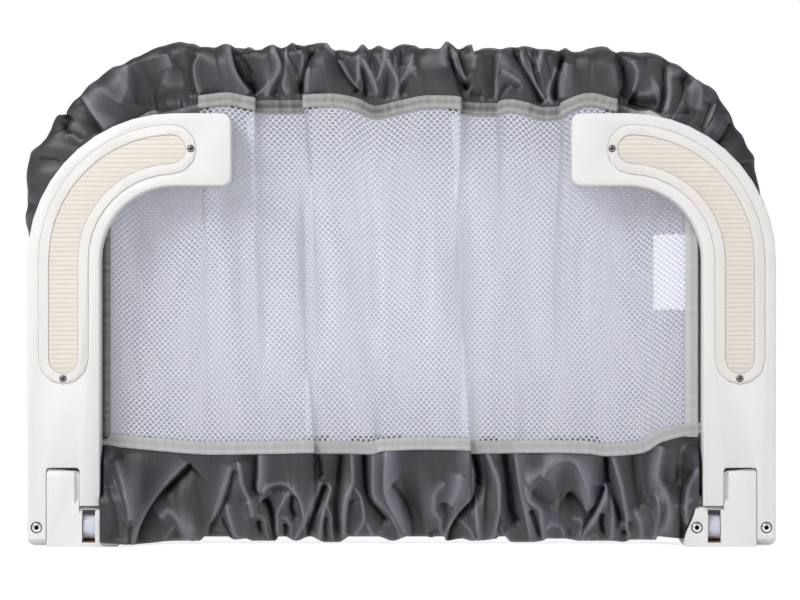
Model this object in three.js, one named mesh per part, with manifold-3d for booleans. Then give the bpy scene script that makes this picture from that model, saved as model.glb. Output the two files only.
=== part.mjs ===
// Folding bed guard rail, folded flat and slid together for storage.
// Millimetres. +Z is up, -Y is the bed side that carries the folded arms, and
// the origin is on the floor in the middle of the rail.
//
// The rail is a gathered cloth cover on a frame of steel tubes. The left and
// right halves of the frame telescope, and each half has a hinge block that
// carries a moulded J-shaped arm. The arms swing out under the mattress.

import * as THREE from 'three';
import { mergeVertices } from 'three/addons/utils/BufferGeometryUtils.js';
import Module from 'manifold-3d';

const wasm = await Module();
wasm.setup();

// Clearances
const seatGap = 0.3;
const slideGap = 0.5;
const turnGap = 0.4;
const cutOverrun = 5;

// Frame tubes
const tubeRadius = 11;
const tubeWall = 1.3;
const tubeSides = 12;
const cornerBendRadius = 105;
const cornerBendSteps = 8;
const uprightX = 305;
const topTubeZ = 427;
const outerTubeEndX = 150;
const innerTubeEndX = -150;
const innerTubeWall = 1.2;
const collarWall = 1.4;
const collarLength = 14;
const collarLip = 2;
const innerTubeGrip = 42;
const tubeEndGap = 1;
const snapButtonRadius = 3;
const snapInset = 25;
const snapLegLength = 42;
const snapLegThickness = 0.8;
const snapLegWidth = 6;
const snapHoleShares = [0, 0.5, 1];
const extendTravel = 220;

// Arms
const armOuterX = 337;
const armWidth = 65.3;
const armOuterRadius = 132.3;
const armTopZ = 390.6;
const armTipX = 153.5;
const armTipCorner = 8;
const armThickness = 28;
const armFrontWall = 4.4;
const armSideWall = 2.8;
const armEdge = 2;
const armBendSteps = 11;
const armFootCorner = 6;
const armRib = 2;
const armRibInset = 1.5;
const armUprightRibs = 4;
const armBendRibs = 4;
const cavityFloorZ = 78;

// Grip pad, its trim frame and screws
const trackInset = 32.5;
const trackFootZ = 169;
const trackEndAngle = 88.6;
const trackSteps = 10;
const trackEndSteps = 6;
const frameHalfWidth = 22.3;
const padHalfWidth = 13;
const frameRecess = 2.2;
const frameProud = 0.8;
const padSunk = 0.6;
const ribPitch = 4.2;
const ribWidthShare = 0.62;
const ribHeight = 1;
const screwBeyondEnd = 17.6;
const screwHeadRadius = 3;
const screwHeadHeight = 1.7;
const screwShankRadius = 1.5;
const screwCrownRadius = 1.8;
const screwRimHeight = 0.85;
const screwLength = 14;
const screwBossRadius = 4.6;
const screwSides = 8;

// Hinge
const axleZ = 17.5;
const axleRadius = 6;
const axleSides = 16;
const eyeFloorGap = 1;
const eyeSteps = 14;
const slotWidth = 30.4;
const slotTopZ = 71.4;
const slotCorner = 3;
const legFootZ = 37;
const towerTopZ = 68;
const towerTopRise = 2.4;
const towerBackTopZ = 86;
const towerBackGap = 3;
const towerSideGap = 0.7;
const towerCorner = 2.4;
const towerFrontRound = 8;
const rebateWidth = 4;
const rebateDepth = 5;
const rebateFromLeg = 1.5;
const footWall = 2.8;
const footRoundGap = 0.5;
const flareFootX = 254.6;
const flareTopX = 265;
const flareSteps = 8;
const blockBackWall = 3.7;
const blockCorner = 3;
const socketFloorZ = 40;
const socketDepth = 33;
const windowWidth = 12;
const windowFromSlot = 2.1;
const windowFootZ = 3.9;
const windowHeight = 29.4;
const hubRadius = 11.2;
const hubFlat = 10.9;
const hubSides = 24;
const springThickness = 0.8;
const springSteps = 6;
const axleEndWall = 2.7;
const boltRadius = 2.5;
const boltHeadRadius = 4.9;
const boltHeadHeight = 2.8;
const boltSocketRadius = 1.9;
const boltSocketDepth = 1.7;
const boltCrownRadius = 3;
const boltRimHeight = 0.9;
const boltSides = 10;
const tubeBoltX = 266;

// Cloth
const coverHalfDepth = 22.8;
const coverEdgeHalfDepth = 21;
const coverCloth = 2.4;
const panelGap = 3.2;
const sideEdgeInset = 43;
const topEdgeInset = 27;
const skirtTopZ = 95;
const skirtFloorGap = 0.5;
const seamFromBend = 5;
const sleeveRise = 16;
const sleevePuff = 10;
const sleeveSwell = 4;
const sleeveFoldShares = [2, 11, 6, 6, 10, 5, 4, 6, 13, 5, 5, 7, 5, 5, 9];
const sideReach = 15;
const sidePuff = 9;
const sideFoldPitch = 46;
const skirtPuff = 2.6;
const skirtSwell = 6.5;
const skirtFoldShares = [4, 8, 8, 7, 5, 6, 7, 6, 11, 7, 7, 7, 6, 7, 5];
const wideFold = 45;
const foldWander = 170;
const foldDriftShare = 0.27;
const uprightRings = 7;
const skirtEndX = 284;
const skirtEndZ = 52;
const tapeWidth = 11;
const tapeThickness = 1.5;
const netThickness = 1.2;
const netBar = 5;
const netColumns = 10;
const netRows = 6;
const netBorder = 7;
const labelWidth = 29;
const labelHeight = 67;
const labelFootZ = 213;
const labelThickness = 0.7;

// Places that follow from the sizes above
const overallDepth = frameProud + armThickness + panelGap + coverHalfDepth * 2;
const frameFrontY = -overallDepth / 2;
const armFrontY = frameFrontY + frameProud;
const armBackY = armFrontY + armThickness;
const axleY = (armFrontY + armBackY) / 2;
const panelY = overallDepth / 2 - coverHalfDepth;
const eyeRadius = axleZ - eyeFloorGap;
const armBendX = armOuterX - armOuterRadius;
const armBendZ = armTopZ - armOuterRadius;
const armInnerRadius = armOuterRadius - armWidth;
const armInnerX = armOuterX - armWidth;
const trackRadius = armOuterRadius - trackInset;
const cornerBendX = uprightX - cornerBendRadius;
const cornerBendZ = topTubeZ - cornerBendRadius;
const centreCoverX = cornerBendX - seamFromBend;
const tubeBore = tubeRadius - tubeWall;
const innerTubeRadius = tubeBore - slideGap;
const slotInnerX = uprightX - slotWidth / 2;
const slotOuterX = uprightX + slotWidth / 2;
const cheekX = (slotOuterX + armOuterX) / 2;
const towerHalfWidth = slotWidth / 2 - towerSideGap;
const footRoundRadius = legFootZ - axleZ - footRoundGap;
const footTopZ = axleZ + footRoundRadius;
const blockBackY = panelY + tubeRadius + seatGap + blockBackWall;
const windowOuterX = slotInnerX - windowFromSlot;
const windowInnerX = windowOuterX - windowWidth;
const axleInnerX = windowInnerX - footWall;
const lowerSocketX = flareFootX + socketDepth;

// Materials, by finish
const finish = {
  armPlastic: { color: 0xf0eeee, roughness: 0.42, metalness: 0 },
  trimPlastic: { color: 0xe6dfd3, roughness: 0.5, metalness: 0 },
  gripRubber: { color: 0xe8dfd0, roughness: 0.7, metalness: 0 },
  hubPlastic: { color: 0xdcdcea, roughness: 0.45, metalness: 0 },
  zinc: { color: 0xa9abb0, roughness: 0.35, metalness: 0.9 },
  chrome: { color: 0xc4c6ca, roughness: 0.2, metalness: 1 },
  bronze: { color: 0x8a6a44, roughness: 0.4, metalness: 0.9 },
  tubeSteel: { color: 0xb8babd, roughness: 0.4, metalness: 0.8 },
  satin: { color: 0x505156, roughness: 0.55, metalness: 0 },
  tape: { color: 0xbec0ba, roughness: 0.85, metalness: 0 },
  net: { color: 0xe9eaf1, roughness: 0.8, metalness: 0 },
  label: { color: 0xf4f4f6, roughness: 0.7, metalness: 0 },
};

const rail = new THREE.Group();

function addPiece(name, geometry, look) {
  const mesh = new THREE.Mesh(geometry, new THREE.MeshStandardMaterial(look));
  mesh.name = name;
  rail.add(mesh);
}

// Solids: a closed mesh becomes a solid for a cut or a join, and comes back.
function toSolid(geometry) {
  const bare = geometry.clone();
  bare.deleteAttribute('normal');
  bare.deleteAttribute('uv');
  const merged = mergeVertices(bare);
  const corner = merged.index.array;
  const kept = [];
  for (let i = 0; i < corner.length; i += 3) {
    const [a, b, c] = [corner[i], corner[i + 1], corner[i + 2]];
    if (a !== b && b !== c && c !== a) kept.push(a, b, c);
  }
  return new wasm.Manifold(new wasm.Mesh({
    numProp: 3,
    vertProperties: Float32Array.from(merged.attributes.position.array),
    triVerts: Uint32Array.from(kept),
  }));
}

function toGeometry(solid) {
  const mesh = solid.getMesh();
  const geometry = new THREE.BufferGeometry();
  geometry.setAttribute('position', new THREE.BufferAttribute(mesh.vertProperties, 3));
  geometry.setIndex(new THREE.BufferAttribute(mesh.triVerts, 1));
  return geometry;
}

function joined(solids) {
  return solids.reduce((whole, solid) => whole.add(solid));
}

function cut(solid, cutters) {
  return cutters.reduce((rest, cutter) => rest.subtract(cutter), solid);
}

// The left side is the right side's mirror image, with its faces turned round.
function mirrored(geometry) {
  const copy = geometry.clone();
  copy.scale(-1, 1, 1);
  const corner = copy.index.array;
  for (let i = 0; i < corner.length; i += 3) {
    [corner[i], corner[i + 1]] = [corner[i + 1], corner[i]];
  }
  return copy;
}

// Points of an arc, both ends included, with angles in degrees.
function arc(centreX, centreZ, radius, fromDeg, toDeg, steps) {
  const points = [];
  for (let i = 0; i <= steps; i += 1) {
    const angle = THREE.MathUtils.degToRad(fromDeg + ((toDeg - fromDeg) * i) / steps);
    points.push(new THREE.Vector2(
      centreX + radius * Math.cos(angle),
      centreZ + radius * Math.sin(angle),
    ));
  }
  return points;
}

const point = (x, z) => new THREE.Vector2(x, z);

// An outline drawn in X and Z, carried from the front to the back in Y.
function throughDepth(outline, frontY, backY, holes = []) {
  const shape = new THREE.Shape(outline);
  shape.holes = holes.map((hole) => new THREE.Path(hole));
  const geometry = new THREE.ExtrudeGeometry(shape, {
    depth: backY - frontY,
    bevelEnabled: false,
  });
  geometry.rotateX(Math.PI / 2);
  geometry.translate(0, backY, 0);
  return geometry;
}

// The same with its front and back edges rounded off.
function throughDepthRounded(outline, frontY, backY, edge) {
  const geometry = new THREE.ExtrudeGeometry(new THREE.Shape(outline), {
    depth: backY - frontY - edge * 2,
    bevelEnabled: true,
    bevelThickness: edge,
    bevelSize: edge,
    bevelOffset: -edge,
    bevelSegments: 2,
  });
  geometry.rotateX(Math.PI / 2);
  geometry.translate(0, backY - edge, 0);
  return geometry;
}

// An outline drawn in Y and Z, carried along X.
function alongX(outline, fromX, toX, holes = []) {
  const shape = new THREE.Shape(outline);
  shape.holes = holes.map((hole) => new THREE.Path(hole));
  const geometry = new THREE.ExtrudeGeometry(shape, {
    depth: toX - fromX,
    bevelEnabled: false,
  });
  geometry.applyMatrix4(new THREE.Matrix4().makeBasis(
    new THREE.Vector3(0, 1, 0),
    new THREE.Vector3(0, 0, 1),
    new THREE.Vector3(1, 0, 0),
  ));
  geometry.translate(fromX, 0, 0);
  return geometry;
}

function block(fromX, toX, fromY, toY, fromZ, toZ) {
  const geometry = new THREE.BoxGeometry(toX - fromX, toY - fromY, toZ - fromZ);
  geometry.translate((fromX + toX) / 2, (fromY + toY) / 2, (fromZ + toZ) / 2);
  return geometry;
}

// A hole's corners lie outside its round, so that its flats clear the pin.
const holeRadius = (radius, sides) => radius / Math.cos(Math.PI / sides);

function rodAlongX(radius, fromX, toX, y, z, sides) {
  const geometry = new THREE.CylinderGeometry(radius, radius, toX - fromX, sides);
  geometry.rotateZ(Math.PI / 2);
  geometry.translate((fromX + toX) / 2, y, z);
  return geometry;
}

function rodAlongY(radius, fromY, toY, x, z, sides) {
  const geometry = new THREE.CylinderGeometry(radius, radius, toY - fromY, sides);
  geometry.translate(x, (fromY + toY) / 2, z);
  return geometry;
}

function rodAlongZ(radius, fromZ, toZ, x, y, sides) {
  const geometry = new THREE.CylinderGeometry(radius, radius, toZ - fromZ, sides);
  geometry.rotateX(Math.PI / 2);
  geometry.translate(x, y, (fromZ + toZ) / 2);
  return geometry;
}

// Arm: the J outline, drawn in by an inset, from a foot height upwards.
function armOutline(inset, footZ, footCorner) {
  const outerX = armOuterX - inset;
  const innerX = armInnerX + inset;
  const tipX = armTipX + inset;
  const topZ = armTopZ - inset;
  const lowZ = armTopZ - armWidth + inset;
  const tipCorner = Math.max(armTipCorner - inset, armEdge);
  const tipSteps = 3;
  return [
    ...arc(outerX - footCorner, footZ + footCorner, footCorner, -90, 0, tipSteps),
    ...arc(armBendX, armBendZ, armOuterRadius - inset, 0, 90, armBendSteps),
    ...arc(tipX + tipCorner, topZ - tipCorner, tipCorner, 90, 180, tipSteps),
    ...arc(tipX + tipCorner, lowZ + tipCorner, tipCorner, 180, 270, tipSteps),
    ...arc(armBendX, armBendZ, armInnerRadius + inset, 90, 0, armBendSteps),
    point(innerX, footZ),
  ];
}

// Where the grip pad's band ends, near the arm's tip, and its two screws.
const trackTip = arc(armBendX, armBendZ, trackRadius, trackEndAngle, trackEndAngle, 1)[0];
const tipDirection = THREE.MathUtils.degToRad(trackEndAngle);
const screwPlaces = [
  point(armBendX + trackRadius, trackFootZ - screwBeyondEnd),
  point(
    trackTip.x - screwBeyondEnd * Math.sin(tipDirection),
    trackTip.y + screwBeyondEnd * Math.cos(tipDirection),
  ),
];

// The band that the grip pad follows: up the arm, round the bend, to the tip.
function trackOutline(halfWidth) {
  const end = trackEndAngle;
  return [
    ...arc(armBendX + trackRadius, trackFootZ, halfWidth, 180, 360, trackEndSteps),
    ...arc(armBendX, armBendZ, trackRadius + halfWidth, 0, end, trackSteps),
    ...arc(trackTip.x, trackTip.y, halfWidth, end, end + 180, trackEndSteps).slice(1),
    ...arc(armBendX, armBendZ, trackRadius - halfWidth, end, 0, trackSteps).slice(1),
  ];
}

// Seen from its side, the arm is a slab whose foot is an eye round the axle.
function armSideProfile() {
  const backAngle = THREE.MathUtils.radToDeg(Math.acos((armBackY - axleY) / eyeRadius));
  return [
    point(armFrontY - cutOverrun, armTopZ + cutOverrun),
    ...arc(axleY, axleZ, eyeRadius, 180, 360 + backAngle, eyeSteps)
      .map((p) => point(p.x < axleY - armThickness / 2 ? armFrontY - cutOverrun : p.x, p.y)),
    point(armBackY, armTopZ + cutOverrun),
  ];
}

// The ribs behind the arm's face: one along the middle and several across.
function armRibs() {
  const ribFrontY = armFrontY + armFrontWall - armRib;
  const ribBackY = armBackY - armRibInset;
  const middle = armOuterRadius - armWidth / 2;
  const half = armRib / 2;
  const spine = [
    ...arc(armBendX, armBendZ, middle + half, 0, 90, armBendSteps),
    point(armTipX, armBendZ + middle + half),
    point(armTipX, armBendZ + middle - half),
    ...arc(armBendX, armBendZ, middle - half, 90, 0, armBendSteps),
    point(armBendX + middle - half, cavityFloorZ - armRib),
    point(armBendX + middle + half, cavityFloorZ - armRib),
  ];
  const ribs = [toSolid(throughDepth(spine, ribFrontY, ribBackY))];
  const uprightStep = (armBendZ - cavityFloorZ) / armUprightRibs;
  for (let i = 1; i < armUprightRibs; i += 1) {
    const z = cavityFloorZ + uprightStep * i;
    ribs.push(toSolid(block(armInnerX + half, armOuterX - half, ribFrontY, ribBackY, z - half, z + half)));
  }
  for (let i = 0; i <= armBendRibs; i += 1) {
    const rib = block(armInnerRadius + half, armOuterRadius - half, ribFrontY, ribBackY, -half, half);
    rib.rotateY((-Math.PI / 2) * (i / armBendRibs));
    rib.translate(armBendX, 0, armBendZ);
    ribs.push(toSolid(rib));
  }
  return joined(ribs);
}

function makeArmShell() {
  const slab = toSolid(throughDepthRounded(
    armOutline(0, axleZ - eyeRadius, armFootCorner),
    armFrontY,
    armBackY + armThickness,
    armEdge,
  ));
  const side = alongX(armSideProfile(), armTipX - cutOverrun, armOuterX + cutOverrun);
  const body = slab.intersect(toSolid(side));
  const bosses = screwPlaces.map((place) => toSolid(rodAlongY(
    screwBossRadius,
    armFrontY + armFrontWall - armRib,
    armFrontY + screwLength + armSideWall,
    place.x,
    place.y,
    screwSides,
  )));
  const hollow = cut(
    toSolid(throughDepth(
      armOutline(armSideWall, cavityFloorZ, armEdge),
      armFrontY + armFrontWall,
      armBackY + cutOverrun,
    )),
    [armRibs(), ...bosses],
  );
  const slot = toSolid(throughDepth(
    [
      point(slotInnerX, -cutOverrun),
      point(slotOuterX, -cutOverrun),
      ...arc(slotOuterX - slotCorner, slotTopZ - slotCorner, slotCorner, 0, 90, 2),
      ...arc(slotInnerX + slotCorner, slotTopZ - slotCorner, slotCorner, 90, 180, 2),
    ],
    armFrontY - cutOverrun,
    armBackY + armThickness,
  ));
  const underLeg = toSolid(block(
    armInnerX - cutOverrun,
    (slotInnerX + slotOuterX) / 2,
    armFrontY - cutOverrun,
    armBackY + armThickness,
    -cutOverrun,
    legFootZ,
  ));
  const recess = toSolid(throughDepth(
    trackOutline(frameHalfWidth + seatGap),
    armFrontY - cutOverrun,
    armFrontY + frameRecess,
  ));
  const screwHoles = screwPlaces.map((place) => toSolid(rodAlongY(
    holeRadius(screwShankRadius + seatGap, screwSides),
    armFrontY,
    armFrontY + screwLength + seatGap,
    place.x,
    place.y,
    screwSides,
  )));
  const axleHole = toSolid(rodAlongX(
    holeRadius(axleRadius + seatGap, axleSides),
    slotOuterX - cutOverrun,
    armOuterX - axleEndWall,
    axleY,
    axleZ,
    axleSides,
  ));
  return toGeometry(cut(body, [
    hollow, slot, underLeg, recess, ...screwHoles, axleHole, ...boltHoles(cheekX, armBackY - armRibInset),
  ]));
}

// A button-head bolt's stepped hole, from the front face to a given depth.
function boltHoles(x, endY) {
  return [
    toSolid(rodAlongY(
      holeRadius(boltHeadRadius + seatGap, boltSides),
      armFrontY - cutOverrun,
      armFrontY + boltHeadHeight + seatGap,
      x,
      axleZ,
      boltSides,
    )),
    toSolid(rodAlongY(
      holeRadius(boltRadius + seatGap, boltSides),
      armFrontY,
      endY,
      x,
      axleZ,
      boltSides,
    )),
  ];
}

// A round part turned about Y: its profile is given as radius and depth.
function turnedAboutY(profile, x, y, z, sides) {
  const geometry = new THREE.LatheGeometry(profile, sides);
  geometry.translate(x, y, z);
  return toGeometry(toSolid(geometry));
}

function makeBolt(x, endY) {
  const seatY = armFrontY + boltHeadHeight;
  return turnedAboutY([
    point(0, armFrontY + boltSocketDepth),
    point(boltSocketRadius, armFrontY + boltSocketDepth),
    point(boltSocketRadius, armFrontY),
    point(boltCrownRadius, armFrontY),
    point(boltHeadRadius, seatY - boltRimHeight),
    point(boltHeadRadius, seatY),
    point(boltRadius, seatY),
    point(boltRadius, endY),
    point(0, endY),
  ], x, 0, axleZ, boltSides);
}

function makePadFrame() {
  const ring = toSolid(throughDepth(
    trackOutline(frameHalfWidth),
    frameFrontY,
    armFrontY + frameRecess - seatGap,
    [trackOutline(padHalfWidth + seatGap)],
  ));
  const holes = screwPlaces.flatMap((place) => [
    toSolid(rodAlongY(
      holeRadius(screwHeadRadius + seatGap, screwSides),
      frameFrontY - cutOverrun,
      frameFrontY + screwHeadHeight + seatGap,
      place.x,
      place.y,
      screwSides,
    )),
    toSolid(rodAlongY(
      holeRadius(screwShankRadius + seatGap, screwSides),
      frameFrontY,
      armFrontY + cutOverrun,
      place.x,
      place.y,
      screwSides,
    )),
  ]);
  return toGeometry(cut(ring, holes));
}

function makePadScrew(place) {
  const headY = frameFrontY + seatGap / 2;
  const seatY = headY + screwHeadHeight;
  const endY = armFrontY + screwLength;
  return turnedAboutY([
    point(0, headY),
    point(screwCrownRadius, headY),
    point(screwHeadRadius, seatY - screwRimHeight),
    point(screwHeadRadius, seatY),
    point(screwShankRadius, seatY),
    point(screwShankRadius, endY - screwShankRadius),
    point(0, endY),
  ], place.x, 0, place.y, screwSides);
}

// The grip pad: level ribs all the way, cut to the track's outline.
function makeGripPad() {
  const baseY = armFrontY + frameRecess - seatGap;
  const crestY = frameFrontY + padSunk;
  const outline = trackOutline(padHalfWidth);
  const footZ = trackFootZ - padHalfWidth;
  const topZ = armBendZ + trackRadius + padHalfWidth;
  const pad = toSolid(throughDepth(outline, crestY, baseY));
  const grooves = [];
  for (let z = footZ + ribPitch; z < topZ; z += ribPitch) {
    const half = (ribPitch * (1 - ribWidthShare)) / 2;
    grooves.push(toSolid(block(
      trackTip.x - padHalfWidth - cutOverrun,
      armOuterX,
      crestY - cutOverrun,
      crestY + ribHeight,
      z - half,
      z + half,
    )));
  }
  return toGeometry(cut(pad, grooves));
}

// Hinge block: the foot, seen from the front, with its flared inner end.
function footOutline() {
  const flare = [];
  for (let i = 0; i <= flareSteps; i += 1) {
    const share = i / flareSteps;
    const ease = share * share * (3 - 2 * share);
    flare.push(point(
      flareTopX + (flareFootX - flareTopX) * ease,
      footTopZ + (blockCorner - footTopZ) * share,
    ));
  }
  return [
    point(uprightX, 0),
    point(uprightX, footTopZ),
    ...flare,
    point(flareFootX + blockCorner / 2, 0),
  ];
}

// The foot's side view: its front and top are rounded about the axle so that
// the arm's inner leg can swing past.
function footProfile() {
  const frontAngle = THREE.MathUtils.radToDeg(Math.acos((axleY - armFrontY) / footRoundRadius));
  return [
    point(armFrontY, 0),
    point(blockBackY, 0),
    ...arc(blockBackY - blockCorner, footTopZ - blockCorner, blockCorner, 0, 90, 2),
    ...arc(axleY, axleZ, footRoundRadius, 90, 180 - frontAngle, eyeSteps / 2),
  ];
}

// The tower fills the arm's slot. Its top slopes up to the outer side, its inner
// side is rebated beside the arm's leg, and behind the arm it rises round the tube.
function makeTower() {
  const outerTopZ = towerTopZ + towerTopRise;
  const innerX = uprightX - towerHalfWidth;
  const outerX = uprightX + towerHalfWidth;
  const front = toSolid(throughDepth(
    [
      point(innerX, 0),
      point(outerX, 0),
      ...arc(outerX - towerCorner, outerTopZ - towerCorner, towerCorner, 0, 90, 2),
      ...arc(innerX + towerCorner, towerTopZ - towerCorner, towerCorner, 90, 180, 2),
    ],
    armFrontY,
    blockBackY,
  )).intersect(toSolid(alongX(
    [
      point(armFrontY, 0),
      point(blockBackY, 0),
      point(blockBackY, outerTopZ),
      ...arc(armFrontY + towerFrontRound, outerTopZ - towerFrontRound, towerFrontRound, 90, 180, 4),
    ],
    innerX - cutOverrun,
    outerX + cutOverrun,
  )));
  const back = toSolid(block(innerX, outerX, armBackY + towerBackGap, blockBackY, legFootZ, towerBackTopZ));
  const rebateFootZ = legFootZ + rebateFromLeg;
  const rebate = toSolid(alongX(
    [
      point(armFrontY - cutOverrun, rebateFootZ),
      point(armFrontY, rebateFootZ),
      point(armFrontY + rebateDepth, rebateFootZ + rebateDepth),
      point(armFrontY + rebateDepth, outerTopZ + cutOverrun),
      point(armFrontY - cutOverrun, outerTopZ + cutOverrun),
    ],
    innerX - cutOverrun,
    innerX + rebateWidth,
  ));
  return front.add(back).subtract(rebate);
}

function makeHingeBlock() {
  const foot = toSolid(throughDepth(footOutline(), armFrontY - cutOverrun, blockBackY + cutOverrun))
    .intersect(toSolid(alongX(footProfile(), flareFootX - cutOverrun, uprightX + cutOverrun)));
  const uprightSocket = toSolid(rodAlongZ(
    holeRadius(tubeRadius + seatGap, tubeSides),
    socketFloorZ,
    towerBackTopZ + cutOverrun,
    uprightX,
    panelY,
    tubeSides,
  ));
  const lowerSocket = toSolid(rodAlongX(
    holeRadius(tubeRadius + seatGap, tubeSides),
    flareFootX - cutOverrun,
    lowerSocketX,
    panelY,
    axleZ,
    tubeSides,
  ));
  const window = toSolid(block(
    windowInnerX,
    windowOuterX,
    armFrontY - cutOverrun,
    axleY + hubRadius + turnGap,
    windowFootZ,
    windowFootZ + windowHeight,
  ));
  const axleHole = toSolid(rodAlongX(
    holeRadius(axleRadius + turnGap, axleSides),
    axleInnerX - seatGap,
    uprightX + slotWidth,
    axleY,
    axleZ,
    axleSides,
  ));
  return toGeometry(cut(foot.add(makeTower()), [
    uprightSocket, lowerSocket, window, axleHole, ...boltHoles(tubeBoltX, panelY + tubeRadius),
  ]));
}

function makeAxle() {
  const rod = toSolid(rodAlongX(
    axleRadius,
    axleInnerX,
    armOuterX - axleEndWall - seatGap,
    axleY,
    axleZ,
    axleSides,
  ));
  const boltHole = toSolid(rodAlongY(
    holeRadius(boltRadius + seatGap, boltSides),
    axleY - axleRadius - cutOverrun,
    axleY + axleRadius + cutOverrun,
    cheekX,
    axleZ,
    boltSides,
  ));
  return toGeometry(rod.subtract(boltHole));
}

// The hub turns with the axle. Its flat rests on the leaf spring when folded,
// and the flat that faces the front comes down onto the spring when open.
function makeHub() {
  const fromX = windowInnerX + turnGap;
  const toX = windowOuterX - turnGap;
  const round = toSolid(rodAlongX(hubRadius, fromX, toX, axleY, axleZ, hubSides));
  const keep = toSolid(block(
    fromX - cutOverrun,
    toX + cutOverrun,
    axleY - hubFlat,
    axleY + hubRadius,
    axleZ - hubFlat,
    axleZ + hubRadius,
  ));
  const bore = toSolid(rodAlongX(
    holeRadius(axleRadius + seatGap, axleSides),
    fromX - cutOverrun,
    toX + cutOverrun,
    axleY,
    axleZ,
    axleSides,
  ));
  return toGeometry(round.intersect(keep).subtract(bore));
}

// The leaf spring: a low arch that stands on the window's floor.
function makeDetentSpring() {
  const fromY = armFrontY + boltHeadHeight / 2;
  const toY = axleY + hubRadius;
  const footZ = windowFootZ + seatGap;
  const crestZ = axleZ - hubRadius - seatGap - springThickness;
  const top = [];
  const under = [];
  for (let i = 0; i <= springSteps; i += 1) {
    const share = i / springSteps;
    const y = fromY + (toY - fromY) * share;
    const z = footZ + (crestZ - footZ) * Math.sin(Math.PI * share);
    under.push(point(y, z));
    top.unshift(point(y, z + springThickness));
  }
  return alongX([...under, ...top], windowInnerX + turnGap * 2, windowOuterX - turnGap * 2);
}

// A route of straight runs and one bend, with a ring only where one is needed.
class TubeRoute extends THREE.Curve {
  constructor(stations) {
    super();
    this.stations = stations;
  }

  getPoint(t) {
    const place = t * (this.stations.length - 1);
    const i = Math.min(Math.floor(place), this.stations.length - 2);
    const [a, b] = [this.stations[i], this.stations[i + 1]];
    return a.at.clone().lerp(b.at, place - i);
  }

  getPointAt(u) {
    return this.getPoint(u);
  }

  getSpacedPoints(divisions) {
    return this.getPoints(divisions);
  }

  getTangentAt(u) {
    const i = Math.round(u * (this.stations.length - 1));
    return this.stations[i].along.clone();
  }
}

function tubeAlong(stations) {
  const ring = new THREE.Shape(arc(0, 0, tubeRadius, 0, 360, tubeSides).slice(1));
  ring.holes = [new THREE.Path(arc(0, 0, tubeBore, 0, 360, tubeSides).slice(1))];
  return new THREE.ExtrudeGeometry(ring, {
    steps: stations.length - 1,
    extrudePath: new TubeRoute(stations),
  });
}

// The upright, its bend and the run along the top, for the right side.
function cornerStations(endX) {
  const stations = [{
    at: new THREE.Vector3(uprightX, panelY, socketFloorZ + seatGap),
    along: new THREE.Vector3(0, 0, 1),
  }];
  for (let i = 0; i <= cornerBendSteps; i += 1) {
    const angle = (Math.PI / 2) * (i / cornerBendSteps);
    stations.push({
      at: new THREE.Vector3(
        cornerBendX + cornerBendRadius * Math.cos(angle),
        panelY,
        cornerBendZ + cornerBendRadius * Math.sin(angle),
      ),
      along: new THREE.Vector3(-Math.sin(angle), 0, Math.cos(angle)),
    });
  }
  stations.push({
    at: new THREE.Vector3(endX, panelY, topTubeZ),
    along: new THREE.Vector3(-1, 0, 0),
  });
  return stations;
}

// Holes for the snap button, in a line along an outer tube.
function snapHoles(tubeZ) {
  return snapHoleShares.map((share) => toSolid(rodAlongZ(
    holeRadius(snapButtonRadius + seatGap, boltSides),
    tubeZ,
    tubeZ + tubeRadius + cutOverrun,
    innerTubeEndX + snapInset + extendTravel * share,
    panelY,
    boltSides,
  )));
}

function makeStraightTube(radius, wall, fromX, toX, z) {
  return toSolid(rodAlongX(radius, fromX, toX, panelY, z, tubeSides)).subtract(
    toSolid(rodAlongX(radius - wall, fromX - cutOverrun, toX + cutOverrun, panelY, z, tubeSides)),
  );
}

function crossBoltHole(x) {
  return toSolid(rodAlongY(
    holeRadius(boltRadius + seatGap, boltSides),
    panelY - tubeRadius - cutOverrun,
    panelY + tubeRadius + cutOverrun,
    x,
    axleZ,
    boltSides,
  ));
}

// An inner tube, with the hole that its snap button stands in.
function makeInnerTube(toX, z) {
  const hole = toSolid(rodAlongZ(
    holeRadius(snapButtonRadius + seatGap, boltSides),
    z,
    z + innerTubeRadius + cutOverrun,
    innerTubeEndX + snapInset,
    panelY,
    boltSides,
  ));
  return toGeometry(makeStraightTube(innerTubeRadius, innerTubeWall, innerTubeEndX, toX, z).subtract(hole));
}

// The snap clip: a sprung V in the inner tube, with the button on one leg.
function makeSnapClip(tubeZ) {
  const bore = innerTubeRadius - innerTubeWall - seatGap;
  const reach = Math.sqrt(bore * bore - (snapLegWidth / 2) ** 2) - snapLegThickness;
  const flatBore = tubeBore * Math.cos(Math.PI / tubeSides);
  const buttonX = innerTubeEndX + snapInset;
  const foldX = buttonX + snapLegLength;
  const tipX = buttonX - snapButtonRadius - snapLegThickness;
  const outline = [
    point(tipX, tubeZ + reach),
    point(foldX, tubeZ),
    point(tipX, tubeZ - reach),
    point(tipX, tubeZ - reach + snapLegThickness),
    point(foldX - snapLegThickness * 5, tubeZ),
    point(tipX, tubeZ + reach - snapLegThickness),
  ];
  const legs = toSolid(throughDepth(outline, panelY - snapLegWidth / 2, panelY + snapLegWidth / 2));
  const button = toSolid(rodAlongZ(
    snapButtonRadius,
    tubeZ + reach - snapLegThickness * 2,
    tubeZ + Math.sqrt(flatBore ** 2 - snapButtonRadius ** 2) - seatGap,
    buttonX,
    panelY,
    boltSides,
  ));
  return toGeometry(legs.add(button));
}

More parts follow.
